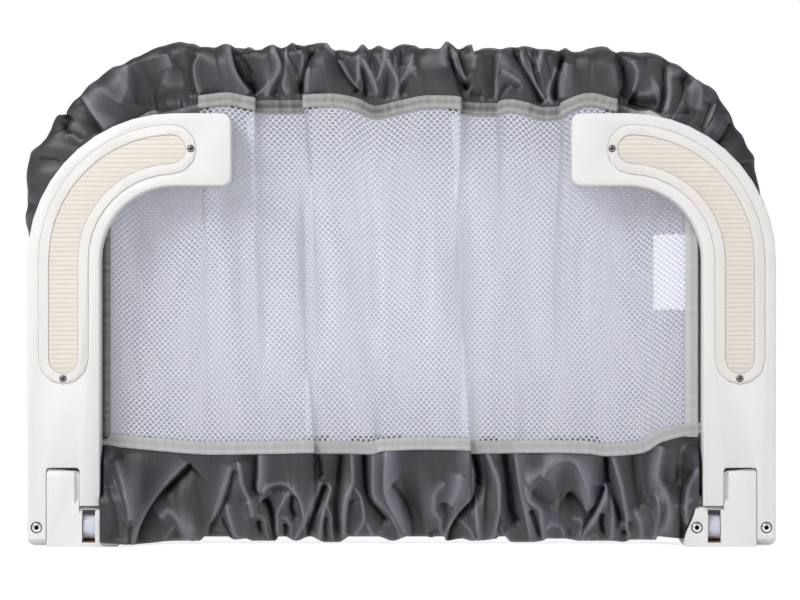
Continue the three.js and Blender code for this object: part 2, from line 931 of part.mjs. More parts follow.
// The collar on an outer tube's mouth guides the inner tube.
function makeCollar(z) {
  const fromX = outerTubeEndX - collarLength;
  const lipX = outerTubeEndX + seatGap;
  const body = toSolid(rodAlongX(
    tubeRadius + seatGap + collarWall,
    fromX,
    lipX + collarLip,
    panelY,
    z,
    tubeSides * 2,
  ));
  return toGeometry(cut(body, [
    toSolid(rodAlongX(
      holeRadius(tubeRadius + seatGap, tubeSides),
      fromX - cutOverrun,
      lipX,
      panelY,
      z,
      tubeSides,
    )),
    toSolid(rodAlongX(
      holeRadius(innerTubeRadius + seatGap, tubeSides),
      lipX - cutOverrun,
      lipX + collarLip + cutOverrun,
      panelY,
      z,
      tubeSides,
    )),
  ]));
}

// The cloth lies flat as far as the tape covers it, and clears the collars.
const underTape = tapeWidth / 2 + seatGap;
const clearRadius = tubeRadius + seatGap + collarWall + slideGap;

// Shares of the edge on the sleeve's flank, of its reach and half depth on its
// crown, and of the clear radius where the lining passes the tube's shoulder.
const flankShares = [0.6, 0.18];
const crownShares = [[0.5, 0.86], [0.88, 0.5]];
const liningShares = [0.78, 0.9];

// Cloth: a channel of cloth that wraps a tube. Each ring of it is a C, drawn
// by its distance outwards from the tube and its distance from the panel's
// middle plane, and the ring's puff swells the outside only.
function channelSection({ edge, reach, swell }) {
  const half = coverHalfDepth - swell;
  const outside = [
    point(-edge, -coverEdgeHalfDepth),
    point(-edge + underTape, -coverEdgeHalfDepth),
    ...flankShares.map((share) => point(-edge * share, -half)),
    ...crownShares.map(([rise, depth]) => point(reach * rise, -half * depth)),
    point(reach, 0),
  ];
  const lining = [
    point(-edge, -coverEdgeHalfDepth + coverCloth),
    ...flankShares.map((share) => point(-edge * share, -half + coverCloth + slideGap)),
    point(clearRadius * liningShares[0], -clearRadius * liningShares[1]),
    point(clearRadius + slideGap, 0),
  ];
  const flip = (points) => points.slice(0, -1).reverse().map((p) => point(p.x, -p.y));
  return [
    ...outside,
    ...flip(outside),
    ...[...lining, ...flip(lining)].reverse(),
  ];
}

// Joins rings of points into one closed body, with both ends capped.
function closedBody(rings, capOutline) {
  const count = rings[0].length;
  const index = [];
  for (let i = 0; i + 1 < rings.length; i += 1) {
    for (let k = 0; k < count; k += 1) {
      const a = i * count + k;
      const b = i * count + ((k + 1) % count);
      index.push(a, b, a + count, b, b + count, a + count);
    }
  }
  const last = (rings.length - 1) * count;
  for (const [a, b, c] of THREE.ShapeUtils.triangulateShape(capOutline, [])) {
    index.push(a, c, b);
    index.push(last + a, last + b, last + c);
  }
  const geometry = new THREE.BufferGeometry();
  const flat = rings.flat().flatMap((p) => [p.x, p.y, p.z]);
  geometry.setAttribute('position', new THREE.Float32BufferAttribute(flat, 3));
  geometry.setIndex(index);
  return geometry;
}

// Gathers: uneven puffs from 0 to 1 along a length.
function gather(along, pitch) {
  const drift = Math.sin((along / foldWander) * Math.PI * 2);
  return (1 + Math.sin((along / pitch + drift * foldDriftShare) * Math.PI * 2)) / 2;
}

// Rings of a gathered length: puff is 0 in a crease and up to 1 on a fold's crest.
// A wide fold has a flat crest, with a ring at each side of it.
function foldRings(shares, halfLength) {
  const total = shares.reduce((sum, share) => sum + share);
  const rings = [];
  let x = -halfLength;
  for (const share of shares) {
    const width = (share / total) * halfLength * 2;
    const puff = Math.min(1, Math.sqrt(width / wideFold));
    const crests = width > wideFold ? [1 / 3, 2 / 3] : [1 / 2];
    rings.push({ x, puff: 0 }, ...crests.map((part) => ({ x: x + width * part, puff })));
    x += width;
  }
  return [...rings, { x: halfLength, puff: 0 }];
}

// Turns a body's faces round where its rings run the other way.
function outward(geometry) {
  const solid = toSolid(geometry);
  if (solid.volume() > 0) return toGeometry(solid);
  const corner = geometry.index.array;
  for (let i = 0; i < corner.length; i += 3) {
    [corner[i], corner[i + 1]] = [corner[i + 1], corner[i]];
  }
  return toGeometry(toSolid(geometry));
}

function channelRing(station) {
  return channelSection(station).map((p) => new THREE.Vector3(
    station.x + station.outX * p.x,
    panelY + p.y,
    station.z + station.outZ * p.x,
  ));
}

function makeTopCover() {
  const rings = foldRings(sleeveFoldShares, centreCoverX).map(({ x, puff }) => channelRing({
    x,
    z: topTubeZ,
    outX: 0,
    outZ: 1,
    edge: topEdgeInset - seatGap,
    reach: sleeveRise + sleevePuff * puff,
    swell: (1 - puff) * sleeveSwell,
  }));
  const cap = channelSection({ edge: topEdgeInset, reach: sleeveRise, swell: 0 });
  return outward(closedBody(rings, cap));
}

// The right side cover: up the upright, round the corner, to the centre cover.
function sideStations() {
  const footZ = skirtTopZ + seatGap;
  const stations = [];
  const outerReach = armOuterX - uprightX - slideGap;
  for (let i = 0; i < uprightRings; i += 1) {
    const z = footZ + ((cornerBendZ - footZ) * i) / uprightRings;
    stations.push({
      x: uprightX,
      z,
      outX: 1,
      outZ: 0,
      edge: sideEdgeInset,
      reach: Math.min(outerReach, sideReach + sidePuff * gather(z, sideFoldPitch)),
      swell: sleeveSwell * (1 - gather(z, sideFoldPitch)),
    });
  }
  for (let i = 0; i <= cornerBendSteps; i += 1) {
    const share = i / cornerBendSteps;
    const angle = (Math.PI / 2) * share;
    const along = cornerBendZ + cornerBendRadius * angle;
    stations.push({
      x: cornerBendX + cornerBendRadius * Math.cos(angle),
      z: cornerBendZ + cornerBendRadius * Math.sin(angle),
      outX: Math.cos(angle),
      outZ: Math.sin(angle),
      edge: sideEdgeInset + (topEdgeInset - sideEdgeInset) * share,
      reach: sideReach + sidePuff * gather(along, sideFoldPitch),
      swell: sleeveSwell * (1 - gather(along, sideFoldPitch)),
    });
  }
  stations.push({
    ...stations.at(-1),
    x: centreCoverX + seatGap,
    edge: topEdgeInset,
  });
  return stations;
}

function makeSideCover() {
  const stations = sideStations();
  return outward(closedBody(stations.map(channelRing), channelSection(stations[0])));
}

// The skirt's ends follow the flared feet, then reach over them.
function skirtHalfLength(z) {
  const clear = seatGap * 2;
  const flareClear = coverCloth;
  if (z >= skirtEndZ) return skirtEndX;
  if (z > footTopZ + clear) {
    const share = (z - footTopZ - clear) / (skirtEndZ - footTopZ - clear);
    return flareTopX - flareClear + (skirtEndX - flareTopX + flareClear) * share;
  }
  const share = Math.min(1, (footTopZ - z) / (footTopZ - blockCorner));
  const ease = Math.max(0, share * share * (3 - 2 * share));
  return flareTopX + (flareFootX - flareTopX) * ease - flareClear;
}

// Shares of the skirt's edge on its flank, of its reach and its half depth on
// its hem, and of the tube's clear radius on its lining.
const skirtFlankShare = 0.72;
const hemShares = [[0.72, 0.84], [1, 0.4]];
const skirtLiningShares = [0.72, 0.8];
const skirtLiningFootShare = 0.28;

// The skirt: hangs from the lower binding, round the lower tubes.
function skirtSection(puff) {
  const edge = skirtTopZ - axleZ;
  const reach = axleZ - skirtFloorGap - skirtPuff * (1 - puff);
  const half = coverHalfDepth - skirtSwell * (1 - puff);
  const nearTube = coverHalfDepth - sleeveSwell * (1 - puff);
  const outside = [
    point(-edge, -coverEdgeHalfDepth),
    point(-edge + underTape, -coverEdgeHalfDepth),
    point(-edge * skirtFlankShare, -half),
    point(-(skirtEndZ - axleZ), -half),
    point(-(footTopZ - axleZ + seatGap * 2), -half),
    point(0, -nearTube),
    ...hemShares.map(([drop, depth]) => point(reach * drop, -nearTube * depth)),
  ];
  const lining = [
    point(-edge, -coverEdgeHalfDepth + coverCloth),
    point(-edge * skirtFlankShare, -half + coverCloth),
    point(-(skirtEndZ - axleZ), -half + coverCloth),
    point(-(footTopZ - axleZ + seatGap * 2), -half + coverCloth),
    point(0, -nearTube + coverCloth),
    point(clearRadius * skirtLiningShares[0], -clearRadius * skirtLiningShares[1]),
    point(clearRadius + slideGap / 2, -clearRadius * skirtLiningFootShare),
  ];
  const flip = (points) => [...points].reverse().map((p) => point(p.x, -p.y));
  return [
    ...outside,
    ...flip(outside),
    ...[...lining, ...flip(lining)].reverse(),
  ];
}

function makeSkirt() {
  const rings = foldRings(skirtFoldShares, skirtEndX).map(({ x, puff }) => (
    skirtSection(puff).map((p) => {
      const z = axleZ - p.x;
      return new THREE.Vector3((x / skirtEndX) * skirtHalfLength(z), panelY + p.y, z);
    })
  ));
  return outward(closedBody(rings, skirtSection(1)));
}

// Binding tape: a flat ribbon along a route in X and Z.
function ribbon(route, side) {
  const outerY = panelY + side * coverHalfDepth;
  const innerY = panelY + side * (coverHalfDepth - tapeThickness);
  const half = tapeWidth / 2;
  const rings = route.map(({ x, z, outX, outZ }) => [
    new THREE.Vector3(x - outX * half, outerY, z - outZ * half),
    new THREE.Vector3(x + outX * half, outerY, z + outZ * half),
    new THREE.Vector3(x + outX * half, innerY, z + outZ * half),
    new THREE.Vector3(x - outX * half, innerY, z - outZ * half),
  ]);
  const cap = [point(0, 0), point(1, 0), point(1, 1), point(0, 1)];
  return outward(closedBody(rings, cap));
}

function straightRoute(z, halfLength) {
  return [-halfLength, halfLength].map((x) => ({ x, z, outX: 0, outZ: 1 }));
}

function sideRoute() {
  const route = [{
    x: uprightX - sideEdgeInset,
    z: skirtTopZ + tapeWidth / 2 + seatGap,
    outX: 1,
    outZ: 0,
  }];
  for (const station of sideStations().slice(uprightRings)) {
    route.push({
      ...station,
      x: station.x - station.outX * station.edge,
      z: station.z - station.outZ * station.edge,
    });
  }
  return route;
}

// The netting: a sheet of six-sided gaps that fills the ring of the cover.
function netOutline() {
  const footX = uprightX - sideEdgeInset - seatGap;
  const footZ = skirtTopZ + seatGap;
  const corner = sideStations().slice(uprightRings).map((station) => point(
    station.x - station.outX * (station.edge + seatGap),
    station.z - station.outZ * (station.edge + seatGap),
  ));
  const flipped = corner.slice().reverse().map((p) => point(-p.x, p.y));
  return [point(-footX, footZ), point(footX, footZ), ...corner, ...flipped];
}

function makeNet(side) {
  const outerX = uprightX - sideEdgeInset - seatGap;
  const topZ = topTubeZ - topEdgeInset - seatGap;
  const footZ = skirtTopZ + seatGap;
  const stepX = ((outerX - netBorder) * 2) / (netColumns + 0.5);
  const stepZ = (topZ - footZ - netBorder * 2) / (netRows + 1 / 3);
  const reachToCorner = cornerBendRadius - sideEdgeInset - netBorder - stepX / 2;
  const holes = [];
  for (let row = 0; row < netRows; row += 1) {
    for (let column = 0; column < netColumns; column += 1) {
      const x = -outerX + netBorder + stepX * (column + 0.5 + (row % 2) / 2);
      const z = footZ + netBorder + stepZ * (row + 2 / 3);
      const pastX = Math.abs(x) - cornerBendX;
      const pastZ = z - cornerBendZ;
      const inCorner = pastX > 0 && pastZ > 0 && Math.hypot(pastX, pastZ) > reachToCorner;
      if (!inCorner) holes.push(netGap(x, z, (stepX - netBar) / 2, (stepZ * 2) / 3 - netBar / 2));
    }
  }
  const middle = coverHalfDepth - tapeThickness - seatGap - netThickness / 2;
  const frontY = panelY + side * middle - netThickness / 2;
  return toGeometry(toSolid(throughDepth(netOutline(), frontY, frontY + netThickness, holes)));
}

function netGap(x, z, halfWidth, halfHeight) {
  return [
    point(x, z - halfHeight),
    point(x + halfWidth, z - halfHeight / 2),
    point(x + halfWidth, z + halfHeight / 2),
    point(x, z + halfHeight),
    point(x - halfWidth, z + halfHeight / 2),
    point(x - halfWidth, z - halfHeight / 2),
  ];
}

function makeLabel() {
  const outerX = uprightX - sideEdgeInset - tapeWidth / 2 + seatGap;
  const frontY = panelY - coverHalfDepth + tapeThickness + netThickness + seatGap * 2;
  const topZ = labelFootZ + labelHeight;
  return block(outerX - labelWidth, outerX, frontY, frontY + labelThickness, labelFootZ, topZ);
}

// Both sides: a piece made on the right and its mirror image on the left.
function addPair(name, geometry, look) {
  addPiece(`left_${name}`, mirrored(geometry), look);
  addPiece(`right_${name}`, geometry, look);
}

addPair('arm_shell', makeArmShell(), finish.armPlastic);
addPair('pad_frame', makePadFrame(), finish.trimPlastic);
addPair('grip_pad', makeGripPad(), finish.gripRubber);
addPair('pad_screw_lower', makePadScrew(screwPlaces[0]), finish.zinc);
addPair('pad_screw_upper', makePadScrew(screwPlaces[1]), finish.zinc);
addPair('hinge_axle', makeAxle(), finish.zinc);
addPair('axle_bolt', makeBolt(cheekX, armBackY - armRibInset - seatGap), finish.chrome);
addPair('hinge_hub', makeHub(), finish.hubPlastic);
addPair('hinge_block', makeHingeBlock(), finish.armPlastic);
addPair('detent_spring', toGeometry(toSolid(makeDetentSpring())), finish.bronze);
addPair('tube_bolt', makeBolt(tubeBoltX, panelY + tubeRadius - seatGap), finish.chrome);
addPair('side_cover', makeSideCover(), finish.satin);
addPair('side_binding_front', ribbon(sideRoute(), -1), finish.tape);
addPair('side_binding_back', ribbon(sideRoute(), 1), finish.tape);

const leftCornerTube = toSolid(mirrored(toGeometry(toSolid(tubeAlong(cornerStations(-outerTubeEndX))))));
addPiece('left_corner_tube', toGeometry(cut(leftCornerTube, snapHoles(topTubeZ))), finish.tubeSteel);
const rightTubeEndX = outerTubeEndX + seatGap + collarLip + tubeEndGap;
addPiece(
  'right_corner_tube',
  toGeometry(toSolid(tubeAlong(cornerStations(rightTubeEndX)))),
  finish.tubeSteel,
);
addPiece('left_lower_tube', toGeometry(cut(
  makeStraightTube(tubeRadius, tubeWall, -lowerSocketX + seatGap, outerTubeEndX, axleZ),
  [crossBoltHole(-tubeBoltX), ...snapHoles(axleZ)],
)), finish.tubeSteel);
addPiece('right_lower_tube', toGeometry(cut(
  makeStraightTube(tubeRadius, tubeWall, rightTubeEndX, lowerSocketX - seatGap, axleZ),
  [crossBoltHole(tubeBoltX)],
)), finish.tubeSteel);
addPiece('top_inner_tube', makeInnerTube(rightTubeEndX + innerTubeGrip, topTubeZ), finish.tubeSteel);
addPiece('lower_inner_tube', makeInnerTube(rightTubeEndX + innerTubeGrip, axleZ), finish.tubeSteel);
addPiece('top_snap_clip', makeSnapClip(topTubeZ), finish.zinc);
addPiece('lower_snap_clip', makeSnapClip(axleZ), finish.zinc);
addPiece('top_glide_collar', makeCollar(topTubeZ), finish.hubPlastic);
addPiece('lower_glide_collar', makeCollar(axleZ), finish.hubPlastic);
addPiece('top_cover', makeTopCover(), finish.satin);
addPiece('skirt_cover', makeSkirt(), finish.satin);
addPiece('front_net', makeNet(-1), finish.net);
addPiece('back_net', makeNet(1), finish.net);
const topBindingZ = topTubeZ - topEdgeInset;
addPiece('top_binding_front', ribbon(straightRoute(topBindingZ, centreCoverX), -1), finish.tape);
addPiece('top_binding_back', ribbon(straightRoute(topBindingZ, centreCoverX), 1), finish.tape);
const lowerBindingX = uprightX - sideEdgeInset + tapeWidth / 2;
addPiece('lower_binding_front', ribbon(straightRoute(skirtTopZ, lowerBindingX), -1), finish.tape);
addPiece('lower_binding_back', ribbon(straightRoute(skirtTopZ, lowerBindingX), 1), finish.tape);
addPiece('care_label', makeLabel(), finish.label);

export default rail;
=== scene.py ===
"""Folding bed guard rail, slid together with its arms folded: the looks around the CAD frame.

Lengths in the tables are millimetres; a mesh is in metres. +Z is up and -Y is the side of the arms.
"""

import bmesh
import bpy
import numpy as np
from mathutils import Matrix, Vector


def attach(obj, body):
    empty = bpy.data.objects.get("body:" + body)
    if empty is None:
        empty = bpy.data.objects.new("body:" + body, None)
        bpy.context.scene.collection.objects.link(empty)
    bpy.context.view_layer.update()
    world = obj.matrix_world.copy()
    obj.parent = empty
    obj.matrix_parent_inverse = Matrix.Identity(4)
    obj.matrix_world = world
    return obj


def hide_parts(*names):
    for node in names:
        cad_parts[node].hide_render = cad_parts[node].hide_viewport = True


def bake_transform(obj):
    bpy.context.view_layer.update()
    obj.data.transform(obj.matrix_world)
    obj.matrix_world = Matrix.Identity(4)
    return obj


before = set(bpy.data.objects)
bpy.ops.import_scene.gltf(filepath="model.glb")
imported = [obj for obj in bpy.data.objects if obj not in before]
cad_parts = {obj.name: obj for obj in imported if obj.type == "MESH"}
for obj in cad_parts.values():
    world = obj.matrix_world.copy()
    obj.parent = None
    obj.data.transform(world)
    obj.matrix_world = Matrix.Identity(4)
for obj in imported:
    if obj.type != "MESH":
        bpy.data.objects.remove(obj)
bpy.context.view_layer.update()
MM = 0.001

# The frame that carries the cloth
UPRIGHT_X = 305.0
TOP_TUBE_Z = 427.0
LOW_TUBE_Z = 17.5
BEND_RADIUS = 105.0
PANEL_Y = 16.0
BEND_X = UPRIGHT_X - BEND_RADIUS
BEND_Z = TOP_TUBE_Z - BEND_RADIUS
BEND_LENGTH = BEND_RADIUS * np.pi / 2
ARM_TIP_X = 153.5
# Cloth and tape keep this far from the middle line of a tube
TUBE_CLEAR = 11.7
COLLAR_CLEAR = 13.4
COLLAR_X = (104.0, 162.0)

# The camera's place, and the size of a picture point at the arms' front
CAMERA_X = -1.35
CAMERA_Z = 222.3
ARM_FRONT_Y = -38.0
CAMERA_DISTANCE = 3200.0
PIXEL = 0.9
PICTURE_WIDTH = 800
PICTURE_HEIGHT = 600

# The cover's end, and how far its drawn top reaches each way, along the rail's tube
COVER_FOOT_Z = 96.0
COVER_END = BEND_X + BEND_LENGTH + BEND_Z - COVER_FOOT_Z
COVER_TOP = 372.0
SKIRT_HALF = 284.0
SKIRT_TOP_Z = 92.0
# Plain sections of cover and skirt: inner edge, reach, half depth and bulge; then the way round
COVER_PLAIN = (28.0, 26.0, 23.2, 3.5)
SKIRT_PLAIN = (SKIRT_TOP_Z - LOW_TUBE_Z, LOW_TUBE_Z - 2, 22.8, 3.0)
SKIRT_HALF_DEPTH = 23.0
COVER_AROUND = 165.0
SKIRT_AROUND = 240.0
# Depths: the lines drawn on the cloth, the cloth's front where it is free, and behind the arms
DRAWN_Y = -12.0
COVER_FRONT_Y = -17.0
SKIRT_FRONT_Y = -19.0
BEHIND_ARM_Y = -9.4

# Binding tape: x, height, and how far its pleats lie behind the front ones
TOP_TAPE = (
    (-215.5, 388, 12), (-190, 393.5, 11.5), (-178, 397, 10.5), (-175, 398.5, 8), (-178, 400.5, 5),
    (-183, 402, 3), (-184, 402.5, 1.6), (-182.5, 402.5, 0.5), (-178, 403, 0), (-159.5, 405, 0),
    (-140, 401.5, 0.4), (-134.5, 400.5, 0.8), (-133.5, 400, 2.2), (-135, 400, 3.5), (-141, 399, 6),
    (-143.5, 399, 8.5), (-140, 398.5, 10.5), (-133, 398.5, 11.2), (-112, 398.5, 11.5),
    (-84, 399, 10.5), (-81.5, 399.5, 8), (-84, 401, 5), (-88, 402.5, 3), (-89, 403, 1.6),
    (-87, 403, 0.5), (-82, 403.5, 0), (-65, 404, 0), (-42.5, 400.5, 3), (-24, 393.5, 9),
    (-1.5, 398, 5), (26, 402.5, 1), (47, 402, 0.3), (53, 401, 0.8), (54, 401, 2.2),
    (52.5, 400.5, 3.5), (46.5, 399.5, 6), (44, 399, 8.5), (47.5, 398, 10.3), (55, 397.5, 10.6),
    (72, 396, 10.5), (87, 396, 9), (91, 398, 4), (98.5, 399, 3), (110.5, 397, 4),
    (130.5, 392, 8), (143, 393, 8), (147.5, 396.5, 2), (171.5, 404.5, 0), (188, 401, 0.3),
    (194.5, 399.5, 0.8), (196, 399.5, 2.2), (194, 399, 3.5), (188, 397.5, 6), (185.5, 396.5, 8.5),
    (189, 395.5, 10.5), (197.5, 394.5, 11.5), (215, 389, 13),
)
LOW_TAPE = (
    (-273, 96, 3), (-263, 95, 1.4), (-228.5, 91.5, 1), (-169.5, 87.5, 0), (-131.5, 88, 1),
    (-101.5, 88.5, 1), (-86, 89, 0.3), (-80.5, 89, 0.8), (-79.5, 89, 2), (-81, 89, 3.3),
    (-86, 88.5, 5), (-88, 88.5, 7), (-85, 88, 9), (-78, 88, 9.6), (-51.5, 88, 9), (-28.5, 87.5, 7),
    (-17, 90.5, 1), (21.5, 92, 0), (56, 91.5, 0.3), (61.5, 91, 0.8), (62.5, 91, 2.2),
    (61, 90.5, 3.5), (55.5, 90, 5.5), (53.5, 89, 7.5), (56.5, 88.5, 9.5), (63.5, 88, 10.2),
    (100.5, 88.5, 8), (112.5, 89, 3), (144, 89, 1), (171.5, 88, 2), (186, 86, 4),
    (217, 88.5, 3), (235, 98.5, 1), (259.5, 104.5, 0.4), (274, 106, 1.8),
)
TAPE_FRONT_Y = -8.2
TAPE_HEIGHT = 12.0
TAPE_THICKNESS = 1.7

# The cover's outer line: distance along the rail's tube from the middle of the top, and reach from the tube
COVER_REACH = (
    (-592, 22), (-560, 27), (-500, 24), (-450, 29), (-401, 37), (-370, 38), (-339, 37.5), (-324, 28),
    (-309, 31), (-302, 22.5), (-286, 23.5), (-261, 23), (-227, 26), (-208, 30), (-192, 31),
    (-184, 27), (-179, 27), (-170, 26), (-160, 29), (-145, 26), (-140, 28), (-132, 23), (-118, 28),
    (-111, 26), (-99, 32), (-87, 28), (-70, 30), (-60, 23), (-42, 23), (-36, 29), (-29, 25), (-21, 28),
    (-13, 25), (10, 29), (23, 23), (32, 24), (42, 31), (52, 25), (64, 29), (66, 23), (81, 26), (93, 25),
    (110, 28), (127, 25), (143, 23), (150, 26), (156, 22), (172, 26), (187, 26), (194, 20), (200, 22),
    (209, 24), (224, 23.5), (238, 22), (253, 21), (266, 17.5), (278, 20.5), (287, 19.5),
    (303, 17), (321, 15.5), (340, 20.5), (354, 20.5), (379, 26), (430, 27), (480, 23), (530, 28),
    (592, 22),
)

# Creases of the cover: place along the tube at the outer line, half way down the front and at the
# binding, then how deep it is, from 0 to 1
COVER_CREASES = (
    (-342, -342, -345, 0.4), (-305, -312, -322, 1), (-287, -292, -300, 0.25), (-262, -262, -264, 0.1),
    (-240.5, -233, -226, 0.2), (-210.5, -208, -205, 0.25),
    (-182.5, -188.5, -186, 0.5), (-172.5, -168.5, -163, 0.3), (-156, -144, -134, 1),
    (-143, -137.5, -126.5, 0.3), (-132, -119, -117, 0.5), (-108.5, -109, -96, 0.6),
    (-103, -103, -88.5, 0.9), (-81, -89.5, -79, 0.5), (-64.5, -51.5, -39.5, 1),
    (-45, -40, -33, 0.6), (-32.5, -25, -19.5, 0.7), (-18, -19.5, -14, 0.4), (-10.5, -7.5, -7, 0.5),
    (13.5, 0.5, -2, 0.6), (40.5, 49, 55, 1), (49, 54.5, 61, 0.4), (67, 67, 68, 0.7),
    (89, 87.5, 87, 0.6), (109.5, 117, 128.5, 1), (126.5, 123.5, 134, 0.5),
    (146, 133, 139.5, 0.7), (151.5, 146, 146, 0.5), (158, 158.5, 157, 0.3),
    (172.5, 173, 171.5, 0.3), (194.5, 202.5, 197, 0.8),
    (218, 221, 222, 0.5), (236.5, 240, 247, 0.7), (252, 256, 264, 0.7), (268, 274, 284, 0.4),
    (283, 290, 303, 0.8), (312, 316, 322, 0.5), (343.5, 343, 342, 0.6),
)

# Hard edges of the pleats on the cover's front, in picture points from the binding up
PLEAT_EDGES = (
    ((199, 96), (195, 84), (193, 67), (199, 49)),
    ((255, 95), (246, 83), (237, 67), (231, 47)),
    ((304, 95), (304, 78), (308, 64), (313, 47)),
    ((359, 94), (348, 75), (337, 56), (330, 47)),
    ((461, 97), (454, 76), (449, 60), (447, 46)),
    ((498, 100), (496, 84), (498, 66), (500, 46)),
    ((561, 100), (560, 89), (563, 72), (565, 50)),
    ((617, 97), (623, 80), (622, 65), (615, 52)),
)

# Ridges and creases seen on the front: height in mm, how fast it fades to the left and to the
# right in mm, then picture points from the top down
COVER_LINES = (
    (1.6, 1.2, 5, (199, 49), (193, 67), (195, 84), (199, 96)),
    (-4, 7, 1.2, (195, 49), (190, 67), (192, 84), (196, 96)),
    (-8, 1.4, 7, (231, 44), (237, 67), (246, 83), (255, 95)),
    (2, 4, 1.2, (229, 44), (234, 67), (243, 83), (252, 94)),
    (2, 5, 1.5, (269, 45), (277, 54), (280, 66), (272, 81), (264, 98)),
    (-4, 2, 6, (277, 46), (284, 66), (277, 84), (272, 98)),
    (1.8, 1.2, 4, (286, 44), (285, 69), (282, 83), (288, 96)),
    (-5, 2, 3, (291, 42), (300, 45), (306, 48)),
    (1.6, 2, 2, (296, 47), (303, 55), (301, 66), (294, 80)),
    (-7, 4, 1.4, (314, 45), (306, 62), (302, 80), (301, 95)),
    (1.6, 1.2, 6, (308, 64), (304.5, 78), (304.5, 95)),
    (-8, 1.3, 5, (335, 48), (341, 66), (349, 79), (359, 93)),
    (2.2, 1.6, 1.8, (322, 46), (337, 54), (348, 73), (360, 89)),
    (2, 1.4, 1.4, (356, 50), (359, 60), (358, 76), (354, 84)),
    (-5, 1.4, 4, (361, 62), (364, 76), (366, 98)),
    (2, 1.5, 1.5, (361, 56), (368, 70), (375, 83), (378, 96)),
    (2, 1.5, 1.5, (387, 47), (385, 56), (380, 73), (375, 83)),
    (2, 1.5, 1.5, (386, 58), (394, 72), (398, 84), (393, 101)),
    (-4, 4, 4, (389, 66), (386, 84), (385, 100)),
    (-3.5, 3, 3, (371, 52), (371, 72)),
    (2, 1.6, 1.6, (419, 66), (408, 73), (398, 84)),
    (1.8, 2, 2, (413, 50), (412, 62), (402, 78)),
    (-3, 3, 3, (402, 46), (401, 66)),
    (-4, 2, 3, (414, 72), (405, 82), (400, 96)),
    (2.6, 6, 2, (446, 44), (444, 56), (447, 68)),
    (-9, 1.4, 3, (449, 46), (454, 66), (462, 80), (469, 90)),
    (2, 1.2, 1.6, (452, 45), (458, 66), (468, 81)),
    (-5, 1.5, 5, (459, 46), (463, 64), (469, 78)),
    (2, 3, 1.2, (473, 46), (475, 58), (474, 70)),
    (-3.5, 3, 6, (468, 92), (486, 94)),
    (1.6, 1.2, 4, (500, 48), (498, 66), (496, 84), (497, 101)),
    (-4, 6, 1.2, (496, 50), (494, 66), (493, 84), (494, 100)),
    (1.8, 3, 2, (499, 70), (511, 76), (523, 84)),
    (-5, 1.3, 2.2, (497, 101), (503, 88), (512, 83), (522, 88)),
    (-8, 1.4, 2.4, (514, 46), (520, 60), (530, 77), (543, 104)),
    (2, 1.4, 3, (521, 45), (522, 57), (532, 76), (546, 100)),
    (1.8, 3, 1.6, (543, 48), (541, 60), (538, 74)),
    (-4, 2, 2, (535, 47), (534, 60), (538, 80), (548, 100)),
    (2, 1.6, 1.6, (559, 62), (552, 80), (549, 92), (554, 106)),
    (-7, 3, 1.3, (565, 48), (561, 62), (557, 80), (557, 102)),
    (1.8, 1.2, 6, (566, 58), (563, 72), (560.5, 89), (561, 101)),
    (-4, 1.4, 6, (616, 53), (624, 66), (625, 80), (620, 97)),
    (2, 2, 2.5, (631, 57), (638, 72), (636, 86), (633, 94)),
    (2.2, 5, 5, (636, 93), (650, 92), (663, 86)),
    (-7, 3, 6, (628, 98), (645, 104), (661, 100)),
    (-6, 4, 1.3, (669, 60), (666, 78), (666, 92), (660, 114)),
    (2, 1.3, 5, (671, 60), (669, 78), (669, 92), (664, 114)),
    (-5, 6, 6, (684, 70), (688, 92), (690, 116)),
    (2.2, 6, 6, (692, 78), (702, 94), (698, 112)),
    (-4, 5, 1.2, (716, 98), (709, 115), (703, 130)),
    (1.8, 1.2, 5, (718, 99), (711, 116), (705, 131)),
    (-4, 3, 3, (733, 118), (727, 134), (719, 146)),
    (-3, 2, 2, (754, 161), (746, 163), (738, 165)),
    (1.6, 1, 12, (80, 94), (92, 111), (107, 132)),
    (-4, 7, 1.2, (77, 96), (88, 113), (102, 134)),
    (-7, 3, 3, (66, 110), (61, 122), (64, 130)),
    (2, 1.5, 4, (63, 131), (73, 137), (84, 144)),
    (-4, 1.5, 3, (61, 128), (72, 133), (85, 140)),
    (-2.4, 1.5, 1.5, (32, 156), (45, 158), (61, 161)),
    (1.8, 14, 6, (126, 62), (126, 84), (118, 106)),
    (-3.5, 5, 16, (131, 64), (137, 84), (136, 106)),
    (1.6, 10, 4, (164, 50), (168, 60), (172, 69)),
    (-3.5, 4, 9, (174, 52), (178, 64), (192, 72)),
    (1.4, 12, 12, (158, 80), (172, 84), (186, 82)),
    (-3.5, 14, 12, (150, 98), (170, 94), (190, 90)),
)

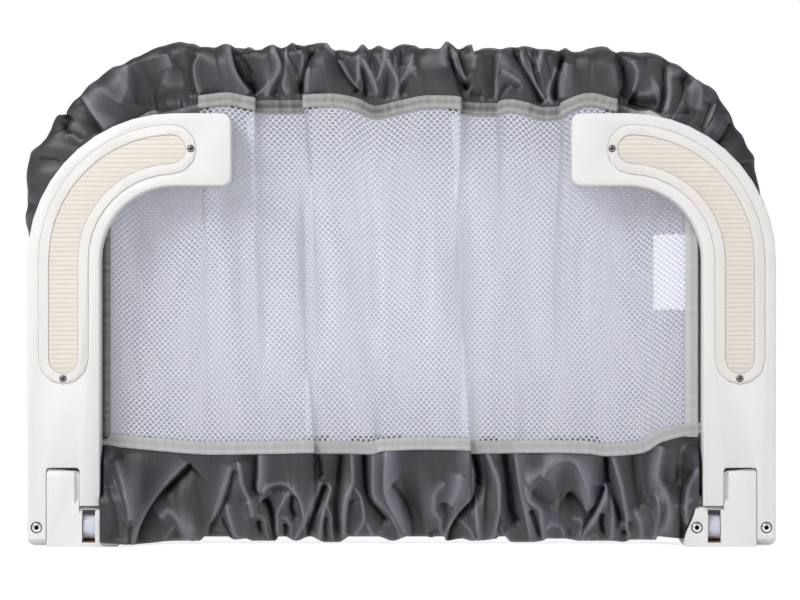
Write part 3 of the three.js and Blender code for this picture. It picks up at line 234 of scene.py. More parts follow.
# The same for the skirt's front
SKIRT_LINES = (
    (3, 3.5, 6, (116, 458), (119, 468), (126, 487), (131, 505), (133, 520)),
    (1.4, 1.2, 1.2, (114, 474), (122, 494), (129, 512), (130, 526)),
    (-4, 5, 4, (107, 462), (110, 484), (118, 508), (122, 540)),
    (-6, 1.2, 1.6, (135, 522), (132, 532), (132, 545)),
    (1.6, 1.2, 1.2, (141, 528), (137, 538), (134, 546)),
    (2.4, 5, 1.2, (189, 461), (173, 477), (157, 496), (147, 512), (140, 527), (134, 545)),
    (-9, 1.4, 7, (192, 464), (177, 479), (162, 496), (152, 511), (144, 527), (139, 546)),
    (2.6, 4, 4, (158, 522), (168, 512), (179, 521), (188, 533)),
    (1.6, 2, 2, (176, 522), (167, 535), (160, 543)),
    (-3, 3, 3, (172, 528), (180, 540)),
    (2.4, 4, 4, (192, 520), (188, 532), (196, 543)),
    (1.6, 5, 1.2, (232, 464), (225, 485), (216, 509), (211, 521), (203, 539)),
    (-5, 1.4, 4, (235, 468), (231, 486), (223, 508), (214, 524), (206, 542)),
    (2.6, 3, 4, (238, 460), (242, 485), (250, 505), (253, 520)),
    (2.2, 1.6, 2.4, (225, 503), (230, 521), (235, 535), (241, 546)),
    (-5, 2, 2, (220, 513), (226, 530), (233, 545)),
    (1.8, 1.2, 1.2, (253, 520), (257, 516), (262, 519), (265, 528), (267, 540), (273, 549)),
    (-5, 1.6, 1.6, (257, 521), (259, 532), (261, 542)),
    (1.6, 1.2, 1.2, (252, 546), (255, 540), (260, 539), (264, 546)),
    (-7, 7, 1.2, (256, 444), (256, 475), (254, 490), (258, 500)),
    (2, 1.2, 6, (259, 444), (258, 475), (257, 488), (260, 496)),
    (-10, 2, 4, (261, 500), (268, 508), (272, 524), (273, 546)),
    (2.2, 1.4, 2.4, (260, 495), (268, 486), (280, 484), (291, 488), (300, 503), (304, 521)),
    (-3.5, 3, 3, (270, 494), (280, 490), (286, 496)),
    (2.2, 1.6, 1.6, (289, 490), (282, 505), (277, 520), (277, 541)),
    (-6, 2, 4, (293, 494), (291, 508), (296, 524)),
    (1.8, 1.2, 1.2, (277, 522), (284, 519), (291, 527), (291, 539), (286, 547)),
    (-7, 1.8, 1.8, (284, 524), (285, 534), (284, 543)),
    (2.4, 3, 1.4, (323, 480), (313, 504), (306, 520), (297, 536), (290, 547)),
    (-7, 1.6, 3, (325, 484), (319, 502), (313, 520), (306, 541)),
    (1.8, 1.4, 1.4, (329, 496), (323, 516), (319, 541)),
    (-5, 2, 2, (327, 516), (325, 532), (326, 545)),
    (-4, 5, 3, (313, 444), (319, 470), (321, 482)),
    (2, 1.5, 1.5, (326, 484), (331, 490), (327, 506), (331, 520), (332, 545)),
    (-7, 5, 4, (342, 444), (338, 486), (336, 516), (338, 544)),
    (2.4, 2.4, 3, (351, 444), (353, 486), (346, 496), (343, 516), (343, 545)),
    (2.2, 2, 2, (353, 486), (361, 500), (364, 520), (356, 534), (350, 547)),
    (2, 1.6, 1.6, (364, 520), (374, 535), (386, 549)),
    (-5, 3, 3, (353, 498), (350, 516), (348, 540)),
    (-8, 4.5, 1.4, (364, 444), (366, 486), (367, 500), (376, 511), (388, 526)),
    (2, 1.2, 5, (372, 444), (372, 490), (374, 499), (387, 512), (398, 529), (401, 543)),
    (2.8, 3, 3.5, (388, 444), (385, 486), (389, 501), (400, 520), (405, 536)),
    (-5, 2, 6, (391, 482), (400, 492), (408, 508), (413, 528), (412, 545)),
    (2, 4, 4, (447, 480), (434, 496), (434, 507), (441, 523), (442, 541)),
    (2.6, 7, 6, (462, 472), (458, 490), (448, 508)),
    (-4, 3, 3, (442, 502), (446, 520), (443, 536)),
    (-5, 2, 3, (428, 540), (436, 532), (438, 546)),
    (2.2, 5, 1.2, (467, 444), (474, 483), (472, 500), (460, 512), (450, 529), (443, 548)),
    (-10, 1.4, 4, (470, 444), (478, 483), (475, 501), (464, 513), (454, 530), (447, 549)),
    (1.8, 1.6, 1.6, (453, 530), (461, 525), (470, 530), (478, 544)),
    (-7, 1.8, 1.8, (473, 538), (475, 545)),
    (2, 1.6, 2, (478, 486), (476, 502), (477, 520), (480, 540)),
    (-4, 3, 5, (480, 444), (487, 492), (486, 520), (485, 545)),
    (2.8, 3, 2, (486, 450), (500, 489), (500, 506), (498, 524), (490, 545)),
    (2, 1.6, 2, (498, 524), (505, 536), (513, 549)),
    (-5, 2, 2, (497, 534), (499, 548)),
    (-7, 6, 5, (503, 444), (509, 486), (511, 510), (518, 530)),
    (2.2, 1.3, 5, (514, 444), (520, 489), (525, 513), (529, 529), (532, 549)),
    (2.6, 5, 6, (524, 484), (543, 471), (564, 456)),
    (2.2, 1.4, 3, (524, 484), (528, 499), (540, 510), (543, 529), (547, 545)),
    (-7, 1.6, 1.8, (530, 508), (536, 524), (541, 542)),
    (-3.5, 2, 6, (531, 490), (542, 500), (556, 506)),
    (3, 5, 7, (540, 480), (553, 462), (572, 459), (583, 473), (590, 492), (594, 514)),
    (-6, 5, 2, (566, 494), (579, 504), (587, 520), (588, 536)),
    (2, 2, 2, (544, 532), (552, 523), (562, 528), (566, 541)),
    (2, 2, 2, (570, 520), (580, 520), (583, 531), (578, 541)),
    (-5, 3, 2, (545, 536), (548, 544)),
    (-4, 2, 2, (568, 528), (572, 540)),
    (-9, 4, 1.4, (606, 486), (601, 500), (594, 515), (583, 537)),
    (2.4, 1.2, 2.4, (607, 482), (606, 492), (597, 516), (580, 543)),
    (2, 1.6, 1.6, (609, 483), (613, 504), (614, 522), (612, 540)),
    (-9, 1.4, 2, (606, 444), (608, 481), (611, 492), (618, 514), (622, 530)),
    (-6, 2, 2, (604, 512), (602, 524), (605, 540)),
    (1.8, 1.2, 1.2, (587, 545), (590, 538), (597, 537), (600, 546)),
    (2.4, 2, 4, (611, 450), (622, 488), (626, 511), (628, 529), (631, 546)),
    (-7, 1.8, 1.8, (624, 530), (626, 543)),
    (-5, 9, 8, (632, 444), (636, 486), (642, 512)),
    (2, 3, 3, (634, 509), (641, 521), (643, 534), (633, 546)),
    (-4, 2, 2, (630, 520), (633, 536)),
    (3, 5, 5, (663, 444), (658, 476), (667, 495), (668, 514), (661, 533), (652, 540)),
    (1.6, 1.4, 1.4, (654, 488), (659, 508), (659, 524), (655, 536)),
    (-4, 7, 6, (649, 444), (645, 480), (652, 504)),
    (-8, 5, 3, (692, 468), (681, 496), (678, 513), (680, 532), (676, 546)),
    (2, 2, 5, (697, 464), (687, 490), (684, 510), (686, 530)),
)

# The hem's height, and the skirt's creases from the binding to the hem: depth, then x and height
HEM_LINE = (
    (-284, 3), (-265, 2), (-247, 1), (-237, 0.8), (-226, 1), (-205, 2), (-186, 2), (-180, 6), (-163, 9),
    (-151, 3), (-143, 4), (-137, 2), (-116, 2), (-110, 8), (-97, 2), (-83, 6), (-70, 0.8), (-57, 0.8),
    (-43, 7), (-26, 7), (-9, 2), (2, 5), (14, 9), (28, 5), (36, 9), (42, 2), (57, 4), (64, 2), (86, 4),
    (92, 9), (101, 1), (107, 0.8), (119, 0.8), (129, 2), (133, 4), (148, 4), (163, 2), (189, 2),
    (204, 1), (211, 3), (242, 3), (255, 8), (284, 6),
)
SKIRT_CREASES = (
    (0.5, (-269, 90), (-262, 45), (-254, 12)),
    (1.0, (-193, 84), (-196, 68), (-215, 48), (-230, 26), (-238, 9)),
    (0.4, (-187, 84), (-184, 50), (-178, 4)),
    (0.35, (-158, 84), (-168, 45), (-177, 8)),
    (1.0, (-131, 80), (-132, 51), (-128, 31), (-120, 5)),
    (0.6, (-108, 84), (-104, 51), (-113, 16)),
    (0.5, (-99, 84), (-101, 51), (-93, 36), (-90, 4)),
    (0.8, (-80, 82), (-72, 60), (-84, 26), (-90, 2)),
    (0.6, (-57, 81), (-61, 41), (-60, 4)),
    (0.7, (-30, 82), (-30, 41), (-16, 31), (0, 8)),
    (0.4, (2, 84), (6, 45), (22, 4)),
    (1.0, (61, 86), (68, 55), (65, 41), (50, 19), (39, 0)),
    (0.5, (84, 84), (86, 50), (90, 4)),
    (0.7, (106, 83), (108, 48), (119, 1)),
    (0.4, (140, 84), (146, 40), (141, 4)),
    (0.8, (186, 80), (184, 54), (172, 27), (162, 3)),
    (0.6, (192, 80), (190, 58), (195, 30), (201, 4)),
    (0.6, (218, 83), (218, 52), (233, 20), (238, 4)),
    (0.7, (264, 84), (264, 64), (253, 37), (248, 2)),
)

# Height, and how far the skirt reaches to the right there: in short of the flared foot, out over it
# and at the top behind the arm. On the left it reaches at least to SKIRT_LEFT.
SKIRT_ENDS = ((0, 253.8), (12, 256), (34, 264), (40, 269), (46, 271.2), (52, 274.2), (95, 274.2))
SKIRT_LEFT = 271.2
HEM_LOWEST_Z = 0.6
OVER_FOOT_Y = ARM_FRONT_Y - 1.8
BESIDE_ARM_Y = ARM_FRONT_Y + 6.0

# The netting's folds half way up: x and how far behind the front
NET_MIDDLE = (
    (-264, 3), (-240, 13), (-203, 4), (-178, 1), (-160, 11), (-142, 1), (-134, 0), (-126, 12), (-100, 17),
    (-84, 1), (-60, 15), (-34, 1), (-18, 11), (6, 9), (24, 18), (48, 2), (56, 0), (64, 14), (80, 20),
    (112, 6), (128, 10), (146, 1), (164, 12), (190, 13), (225, 5), (264, 2),
)
NET_PITCH = 5.75
NET_ROW = 2.72
NET_CORNER_RADIUS = BEND_RADIUS - 36
FRONT_HOLE = (0.62, 0.8)
BACK_HOLE = (0.16, 0.2)


def smooth_line(x, y, at):
    """A curve through knots: cubic pieces whose slope at a knot is the harmonic mean of the slopes
    on its two sides, and level where the line turns round."""
    x, y = np.asarray(x, float), np.asarray(y, float)
    width = np.diff(x)
    slope = np.diff(y) / width
    lean = np.zeros_like(y)
    both = slope[:-1] * slope[1:]
    total = slope[:-1] + slope[1:]
    lean[1:-1] = np.where(both > 0, 2 * both / np.where(total == 0, 1, total), 0)
    lean[0], lean[-1] = slope[0], slope[-1]
    at = np.clip(at, x[0], x[-1])
    i = np.clip(np.searchsorted(x, at) - 1, 0, len(width) - 1)
    t = (at - x[i]) / width[i]
    return (
        (2 * t**3 - 3 * t**2 + 1) * y[i]
        + (t**3 - 2 * t**2 + t) * width[i] * lean[i]
        + (3 * t**2 - 2 * t**3) * y[i + 1]
        + (t**3 - t**2) * width[i] * lean[i + 1]
    )


def ease(t):
    """From 0 to 1 with level ends: 3 t squared less 2 t cubed."""
    t = np.clip(t, 0, 1)
    return t * t * (3 - 2 * t)


def bell(x, width):
    """1 at 0 and less on both sides: exp(-(x / width) squared)."""
    return np.exp(-((x / width) ** 2))


def even_route(knots, count):
    """Points evenly spaced by length along a smooth curve through the knots, which is a cubic in
    the knots' own running length."""
    knots = np.asarray(knots, float)
    run = np.concatenate([[0], np.cumsum(np.linalg.norm(np.diff(knots, axis=0), axis=1))])
    fine = np.linspace(0, run[-1], 4000)
    curve = np.stack([smooth_line(run, column, fine) for column in knots.T], -1)
    length = np.concatenate([[0], np.cumsum(np.linalg.norm(np.diff(curve, axis=0), axis=1))])
    even = np.linspace(0, length[-1], count)
    return np.stack([np.interp(even, length, column) for column in curve.T], -1), length[-1]


def seen_at(point):
    """The x and height in mm of a picture point on the upright plane at DRAWN_Y."""
    size = PIXEL * (1 + (DRAWN_Y - ARM_FRONT_Y) / CAMERA_DISTANCE)
    return (
        (point[0] - PICTURE_WIDTH / 2) * size + CAMERA_X,
        (PICTURE_HEIGHT / 2 - point[1]) * size + CAMERA_Z,
    )


def drawn_relief(x, z, lines):
    """Ridges and creases drawn as curves on the front: their height and their tone.

    Each gives its height times three quarters of exp(-distance / fade) and a quarter of a wide
    bell, with a fade for each side and the tip rounded over 0.4 mm, and runs out over the last
    5 mm of its curve; at a point the highest ridge and the deepest crease are added. The tone is
    painted light and shade, in the same way: 0.5 on plain cloth, up to 1 as a painted highlight on a
    ridge and down to 0 as painted shade in a crease, with a painted shadow along the steeper side of a
    ridge."""
    spans = 13
    ridge, crease, light, dark = (np.zeros_like(x) for _ in range(4))
    for height, fade_left, fade_right, *points in lines:
        way, length = even_route([seen_at(point) for point in points], spans + 1)
        far = 6 * max(fade_left, fade_right) + 6
        (low_x, low_z), (high_x, high_z) = way.min(0) - far, way.max(0) + far
        near = (x > low_x) & (x < high_x) & (z > low_z) & (z < high_z)
        px, pz = x[near], z[near]
        best, right, along = np.full(px.shape, far), np.zeros(px.shape, bool), np.zeros(px.shape)
        for step, ((ax, az), (bx, bz)) in enumerate(zip(way[:-1], way[1:])):
            dx, dz = bx - ax, bz - az
            t = np.clip(((px - ax) * dx + (pz - az) * dz) / (dx * dx + dz * dz), 0, 1)
            across, up = px - ax - t * dx, pz - az - t * dz
            distance = np.hypot(across, up)
            right = np.where(distance < best, dx * up - dz * across > 0, right)
            along = np.where(distance < best, (step + t) * length / spans, along)
            best = np.minimum(best, distance)
        fade = np.where(right, fade_right, fade_left)
        close = np.sqrt(best**2 + 0.16) - 0.4
        run_out = ease(along / 5) * ease((length - along) / 5)
        value = height * (0.75 * np.exp(-close / fade) + 0.25 * bell(best, 3 * fade + 3)) * run_out
        force = min(1.0, height / 2.6 if height > 0 else -height / 7) * run_out
        wide = bell(best, 2 * fade + 2.5)
        if height > 0:
            # Painted highlight along the ridge, and painted shadow along its steeper side
            mark = 0.6 * np.exp(-close / (0.5 + 0.35 * fade)) + 0.4 * wide
            steep = np.where(fade_left == fade_right, 0, fade == min(fade_left, fade_right))
            dip = 0.55 * force * steep * bell(best - 2.6, 1.8)
            dark[near] = np.maximum(dark[near], dip)
            ridge[near] = np.maximum(ridge[near], value)
            light[near] = np.maximum(light[near], force * mark)
        else:
            # Painted shade along the crease
            mark = 0.5 * np.exp(-close / (1 + 0.4 * fade)) + 0.5 * wide
            crease[near] = np.minimum(crease[near], value)
            dark[near] = np.maximum(dark[near], force * mark)
    return ridge + crease, 0.5 + 0.5 * light - 0.5 * dark * (1 - light)


def rising_knots(table):
    """The columns of a table of knots, less those where a folded tape runs back under itself."""
    rows = np.array(table, float)
    ahead = np.concatenate([[True], rows[1:, 0] > np.maximum.accumulate(rows[:, 0])[:-1]])
    return rows[ahead].T


def rows_of(*parts):
    """Arrays that share one grid, as a list of points with a column for each."""
    return np.stack(np.broadcast_arrays(*parts), -1).reshape(-1, len(parts))


def grid_faces(rows, columns, wrap=False, flip=False):
    """Four-sided faces between neighbouring rows and columns of a grid of points."""
    row, column = np.meshgrid(
        np.arange(rows - 1), np.arange(columns if wrap else columns - 1), indexing="ij"
    )
    start, beside = row * columns, (column + 1) % columns
    corners = [start + column, start + columns + column, start + columns + beside, start + beside]
    return np.stack(corners[::-1] if flip else corners, -1).reshape(-1, 4)


def make_piece(name, points, faces, material, uv=None, smooth=True, tone=None):
    """A mesh from points in millimetres and lists of faces, each list with one count of corners."""
    faces = faces if isinstance(faces, list) else [faces]
    loops = np.concatenate([f.ravel() for f in faces]).astype(np.int32)
    counts = np.concatenate([np.full(len(f), f.shape[1]) for f in faces])
    starts = np.concatenate([[0], np.cumsum(counts)[:-1]]).astype(np.int32)
    mesh = bpy.data.meshes.new(name)
    mesh.vertices.add(len(points))
    mesh.vertices.foreach_set("co", (points * MM).astype(np.float32).ravel())
    mesh.loops.add(len(loops))
    mesh.loops.foreach_set("vertex_index", loops)
    mesh.polygons.add(len(counts))
    mesh.polygons.foreach_set("loop_start", starts)
    mesh.polygons.foreach_set("use_smooth", np.full(len(counts), smooth))
    if uv is not None:
        layer = mesh.uv_layers.new(name="weave")
        layer.data.foreach_set("uv", (uv[loops] * MM).astype(np.float32).ravel())
    # A per-point tone for the material's painted light and shade
    if tone is not None:
        crest = mesh.attributes.new("painted_light_tone", "FLOAT", "POINT")
        crest.data.foreach_set("value", tone.astype(np.float32).ravel())
    mesh.update(calc_edges=True)
    mesh.validate()
    mesh.materials.append(material)
    piece = bpy.data.objects.new(name, mesh)
    bpy.context.scene.collection.objects.link(piece)
    return piece


# Materials


def feed(place, value):
    """Gives an input socket a number or colour, or links it to another node's output."""
    if isinstance(value, bpy.types.NodeSocket):
        place.id_data.links.new(value, place)
    elif place.type == "RGBA":
        place.default_value = (*value, 1)
    else:
        place.default_value = value


def set_node(node, **values):
    """Sets a node's properties and inputs by name, and gives the node back."""
    for key, value in values.items():
        if key in node.bl_rna.properties:
            setattr(node, key, value)
        else:
            feed(node.inputs[key.replace("_", " ")], value)
    return node


def add_node(nodes, kind, **values):
    """A new shader node with its properties and inputs set by name."""
    return set_node(nodes.new("ShaderNode" + kind), **values)


def add_math(nodes, operation, *values):
    """The output of a Math node over numbers and outputs."""
    node = add_node(nodes, "Math", operation=operation)
    for place, value in zip(node.inputs, values):
        feed(place, value)
    return node.outputs["Value"]


def mixed_colour(nodes, factor, low, high):
    """Two linear colours, given or from an output, mixed by a factor."""
    mix = add_node(nodes, "Mix", data_type="RGBA", Factor=factor, A=low, B=high)
    return mix.outputs["Result"]


def mixed_shader(nodes, factor, low, high):
    """Two shaders mixed by a factor."""
    mix = add_node(nodes, "MixShader", Fac=factor)
    feed(mix.inputs[1], low)
    feed(mix.inputs[2], high)
    return mix.outputs["Shader"]


def shader_of(material):
    """A material's Principled shader."""
    return material.node_tree.nodes["Principled BSDF"]


def start_material(name, colour, roughness, **sockets):
    """A new material with one Principled shader; colour is linear red, green and blue."""
    material = bpy.data.materials.new(name)
    material.use_nodes = True
    shader = set_node(shader_of(material), Base_Color=colour, Roughness=roughness, **sockets)
    return material, material.node_tree.nodes, shader


def add_bump(nodes, shader, height, distance, strength):
    """Bump from a height between 0 and 1, distance in metres."""
    bump = add_node(nodes, "Bump", Height=height, Distance=distance, Strength=strength)
    feed(shader.inputs["Normal"], bump.outputs["Normal"])


def moulded_plastic(name, colour, shade, roughness):
    """Moulded plastic: broad uneven tone, a fine spark-eroded grain and rubbed patches."""
    material, nodes, shader = start_material(name, colour, roughness)
    place = add_node(nodes, "TexCoord").outputs["Object"]
    tone, grain, rubbed = (
        add_node(nodes, "TexNoise", Vector=place, Scale=scale, Detail=detail).outputs["Fac"]
        for scale, detail in ((9.0, 3.0), (2200.0, 2.0), (38.0, 5.0))
    )
    rough = add_node(
        nodes, "MapRange", Value=rubbed, From_Min=0.35, From_Max=0.7, To_Min=roughness - 0.05,
        To_Max=roughness + 0.07,
    ).outputs["Result"]
    set_node(shader, Base_Color=mixed_colour(nodes, tone, shade, colour), Roughness=rough)
    add_bump(nodes, shader, grain, 0.00004, 0.5)
    return material


def metal(name, colour, roughness, streak):
    """Plated or drawn metal: noise drawn out along one way gives fine scratches."""
    material, nodes, shader = start_material(name, colour, roughness, Metallic=1.0)
    place = add_node(nodes, "TexCoord").outputs["Object"]
    stretch = add_node(nodes, "Mapping", Vector=place, Scale=streak).outputs["Vector"]
    scratch = add_node(nodes, "TexNoise", Vector=stretch, Scale=1.0, Detail=4.0).outputs["Fac"]
    dull = tuple(0.9 * part for part in colour)
    rough = add_node(
        nodes, "MapRange", Value=scratch, To_Min=roughness - 0.08, To_Max=roughness + 0.1
    ).outputs["Result"]
    set_node(shader, Base_Color=mixed_colour(nodes, scratch, dull, colour), Roughness=rough)
    add_bump(nodes, shader, scratch, 0.00003, 0.4)
    return material


def woven(name, colour, light, roughness, thread, depth, **sockets):
    """Woven cloth on its own UV map, which is in metres: warp and weft waves multiplied."""
    material, nodes, shader = start_material(name, colour, roughness, **sockets)
    place = add_node(nodes, "TexCoord").outputs["UV"]
    warp, weft = (
        add_node(
            nodes, "TexWave", bands_direction=way, Vector=place, Scale=scale, Distortion=0.4, Detail=1.0
        ).outputs["Fac"]
        for way, scale in zip("XY", thread)
    )
    weave = add_math(nodes, "MULTIPLY", warp, weft)
    tone = add_node(nodes, "TexNoise", Vector=place, Scale=24.0, Detail=4.0).outputs["Fac"]
    blend = add_math(nodes, "MULTIPLY_ADD", weave, 0.45, tone)
    set_node(shader, Base_Color=mixed_colour(nodes, blend, colour, light))
    add_bump(nodes, shader, weave, depth, 0.6)
    return material


def paint_light_and_shade(material, hollow, crest, gloss=0.5):
    """Painted light and shade: a dark colour painted into a hollow as shade and a light colour painted onto
    a crest as a highlight, mixed in by the mesh's own tone attribute, and a gloss dimmed in a hollow as
    painted shade."""
    nodes, shader = material.node_tree.nodes, shader_of(material)
    tone = add_node(nodes, "Attribute", attribute_name="painted_light_tone").outputs["Fac"]
    colour = shader.inputs["Base Color"].links[0].from_socket
    for full, shade in ((0.0, hollow), (1.0, crest)):
        part = add_node(
            nodes, "MapRange", interpolation_type="SMOOTHSTEP", Value=tone, From_Min=0.5, From_Max=full
        )
        colour = mixed_colour(nodes, part.outputs["Result"], colour, shade)
    shine = add_node(nodes, "MapRange", Value=tone, From_Max=0.5, To_Min=0.1, To_Max=gloss)
    set_node(shader, Base_Color=colour, Specular_IOR_Level=shine.outputs["Result"])


# Rigid looks by slot: two colours and roughness; then colour, roughness and the scratches' way
PLASTICS = {
    "arm_plastic": ((0.85, 0.83, 0.82), (0.81, 0.79, 0.78), 0.42),
    "trim_plastic": ((0.83, 0.80, 0.77), (0.79, 0.76, 0.73), 0.46),
    "grip_rubber": ((0.80, 0.735, 0.66), (0.775, 0.708, 0.632), 0.68),
    "hub_plastic": ((0.66, 0.67, 0.76), (0.62, 0.63, 0.72), 0.4),
}
METALS = {
    "zinc_steel": ((0.56, 0.565, 0.58), 0.34, (900, 900, 60)),
    "chrome_steel": ((0.5, 0.5, 0.5), 0.22, (700, 700, 90)),
    "screw_steel": ((0.3, 0.31, 0.32), 0.3, (700, 700, 90)),
    "spring_bronze": ((0.30, 0.17, 0.075), 0.38, (120, 900, 900)),
    "tube_steel": ((0.50, 0.505, 0.515), 0.42, (60, 800, 800)),
}
rigid = {slot: moulded_plastic(slot, *look) for slot, look in PLASTICS.items()}
rigid.update({slot: metal(slot, *look) for slot, look in METALS.items()})
# The fasteners' heads get painted reflection and shade from the tone of their turned profile: near black as
# painted shade, near white as a painted reflection
for fastener in (rigid["chrome_steel"], rigid["screw_steel"]):
    set_node(shader_of(fastener), Metallic=0.75)
    paint_light_and_shade(fastener, (0.004, 0.004, 0.004), (0.9, 0.9, 0.92))
satin = woven(
    "satin_cloth", (0.028, 0.029, 0.034), (0.041, 0.042, 0.049), 0.46, (900.0, 1400.0), 0.00003,
    Sheen_Weight=0.12, Sheen_Roughness=0.35,
)
# Painted shade in the satin's hollows and creases, and painted highlights on its crests, by the cloth's
# tone
paint_light_and_shade(satin, (0.003, 0.003, 0.004), (0.17, 0.172, 0.20), 0.65)
tape = woven(
    "binding_tape", (0.38, 0.385, 0.37), (0.53, 0.535, 0.52), 0.8, (1500.0, 420.0), 0.00025,
    Sheen_Weight=0.15,
)
# Painted shade and painted highlights on the tape, by its tone
paint_light_and_shade(tape, (0.09, 0.09, 0.082), (0.72, 0.72, 0.70))
# The front netting glows faintly as painted light, and gets painted light and shade from its tone
net_thread = woven(
    "netting", (0.60, 0.61, 0.69), (0.66, 0.67, 0.75), 0.6, (1600.0, 1600.0), 0.00005,
    Emission_Color=(0.8, 0.81, 0.9), Emission_Strength=0.07,
)
paint_light_and_shade(net_thread, (0.40, 0.41, 0.475), (0.84, 0.855, 0.97), 0.3)
# The back netting: a darker, shaded copy of the netting as painted shade, with a glow as painted light
back_net_shade_and_glow = woven(
    "netting_back", (0.36, 0.37, 0.415), (0.41, 0.42, 0.465), 0.6, (1600.0, 1600.0), 0.00005,
    Emission_Color=(0.8, 0.81, 0.9), Emission_Strength=0.27,
)
# The label glows as painted light
label_cloth = woven(
    "label_cloth", (0.82, 0.84, 0.91), (0.87, 0.88, 0.94), 0.55, (2200.0, 2600.0), 0.00003,
    Emission_Color=(0.9, 0.91, 0.97), Emission_Strength=0.3,
)


# Rigid pieces: each CAD node's own shape, merged, with its edges broken by a small bevel


def place_of(mesh):
    """The mesh's points in mm."""
    place = np.empty(len(mesh.vertices) * 3, np.float32)
    mesh.vertices.foreach_get("co", place)
    return place.reshape(-1, 3) / MM


def settle(piece, body, replaced):
    """Parents a piece to the body that it rides on, and hides the node that it stands for."""
    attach(piece, body)
    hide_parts(replaced)


def finish_node(name, body, slot, edge, angle=32, groove=0.0):
    """A copy of a CAD node with its loose triangles merged, flat regions joined and edges rounded;
    the floors of its grooves, which lie a groove's depth behind its front, come up to a third."""
    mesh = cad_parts[name].data.copy()
    mesh.name = name + "_finished"
    mesh.materials.clear()
    mesh.materials.append(rigid[slot])
    work = bmesh.new()
    work.from_mesh(mesh)
    bmesh.ops.remove_doubles(work, verts=work.verts, dist=0.02 * MM)
    bmesh.ops.dissolve_limit(work, angle_limit=np.radians(1.0), verts=work.verts, edges=work.edges)
    work.to_mesh(mesh)
    work.free()
    place = place_of(mesh)
    behind = place[:, 1] - place[:, 1].min()
    place[np.abs(behind - groove) < 0.05, 1] -= groove * 2 / 3
    mesh.vertices.foreach_set("co", (place * MM).ravel())
    mesh.polygons.foreach_set("use_smooth", np.full(len(mesh.polygons), True))
    piece = bpy.data.objects.new(name + "_finished", mesh)
    bpy.context.scene.collection.objects.link(piece)
    bevel = piece.modifiers.new("broken edge", "BEVEL")
    bevel.width = edge * MM
    bevel.segments = 2
    bevel.limit_method = "ANGLE"
    bevel.angle_limit = np.radians(angle)
    bevel.harden_normals = True
    settle(piece, body, name)


# A fastener's turned shape: radius and depth behind its front, in mm, then a tone of painted reflection and
# shade, 0 painted black in the socket and up to 1 for the bright ring on the dome
BUTTON_HEAD = (
    (0.02, 1.7, 0), (1.2, 1.7, 0), (1.9, 1.65, 0), (1.95, 0.2, 0.1), (2.3, 0, 0.75), (2.7, 0.02, 1),
    (3.3, 0.2, 1), (3.8, 0.5, 0.9), (4.2, 0.9, 0.5), (4.6, 1.4, 0.2), (4.9, 2, 0.1), (4.9, 2.8, 0.1),
    (2.5, 2.8, 0.1),
)
PAN_HEAD = (
    (0.02, 0, 0.3), (0.4, 0, 0.3), (0.8, 0, 0.35), (1.2, 0.02, 0.4), (1.6, 0.05, 0.4), (1.9, 0.12, 0.55),
    (2.3, 0.3, 0.5), (2.7, 0.55, 0.3), (3, 0.85, 0.15), (3, 1.7, 0.1), (1.5, 1.7, 0.1),
)
SOCKET_RINGS = 4
RECESS_RADIUS = 1.9
RECESS_DEPTH = 0.8
HEAD_SIDES = 60


def turned_head(name, body, look, profile, hexagon=0, cross=0.0):
    """A fastener along y in a CAD node's place. Up to the ring numbered hexagon the radius is a
    six-sided socket's, r cos 30 / cos(angle from the middle of a side). Inside RECESS_RADIUS,
    points nearer than cross to one of two middle lines are sunk by RECESS_DEPTH and painted black as shade;
    elsewhere the profile's tone paints reflection and shade."""
    place = place_of(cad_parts[name].data)
    low, high = place.min(0), place.max(0)
    long = high[1] - low[1]
    profile = np.array([*profile, (profile[-1][0], long, 0.1), (0.02, long, 0.1)])
    turn = np.linspace(0, 2 * np.pi, HEAD_SIDES, endpoint=False)[None, :]
    radius = profile[:, :1] + 0 * turn
    radius[:hexagon] *= np.cos(np.pi / 6) / np.cos(turn % (np.pi / 3) - np.pi / 6)
    off_line = radius * np.minimum(np.abs(np.cos(turn)), np.abs(np.sin(turn)))
    sunk = (off_line < cross) & (profile[:, :1] < RECESS_RADIUS)
    middle = (low + high) / 2
    points = rows_of(
        middle[0] + radius * np.cos(turn), low[1] + profile[:, 1:2] + RECESS_DEPTH * sunk,
        middle[2] + radius * np.sin(turn),
    )
    # Painted reflection and shade from the profile, and black as painted shade in the cross recess
    tone = np.where(sunk, 0, profile[:, 2:] + 0 * turn)
    ring = np.arange(HEAD_SIDES)[None, :]
    faces = [
        grid_faces(len(profile), HEAD_SIDES, wrap=True, flip=True), ring,
        ring[:, ::-1] + (len(profile) - 1) * HEAD_SIDES,
    ]
    piece = make_piece(name + "_finished", points, faces, rigid[look], tone=tone)
    settle(piece, body, name)


for side in ("left", "right"):
    arm, half_frame = f"{side}_arm", f"{side}_frame"
    finish_node(f"{side}_arm_shell", arm, "arm_plastic", 0.5)
    finish_node(f"{side}_pad_frame", arm, "trim_plastic", 0.15)
    finish_node(f"{side}_grip_pad", arm, "grip_rubber", 0.1, groove=1.0)
    finish_node(f"{side}_hinge_axle", arm, "zinc_steel", 0.3)
    finish_node(f"{side}_hinge_hub", arm, "hub_plastic", 0.6)
    finish_node(f"{side}_hinge_block", half_frame, "arm_plastic", 0.6)
    finish_node(f"{side}_detent_spring", half_frame, "spring_bronze", 0.1)
    finish_node(f"{side}_corner_tube", half_frame, "tube_steel", 0.1, 50)
    finish_node(f"{side}_lower_tube", half_frame, "tube_steel", 0.1, 50)
    for bolt, body in (("tube", half_frame), ("axle", arm)):
        turned_head(f"{side}_{bolt}_bolt", body, "chrome_steel", BUTTON_HEAD, SOCKET_RINGS)
    for end in ("lower", "upper"):
        turned_head(f"{side}_pad_screw_{end}", arm, "screw_steel", PAN_HEAD, cross=0.4)
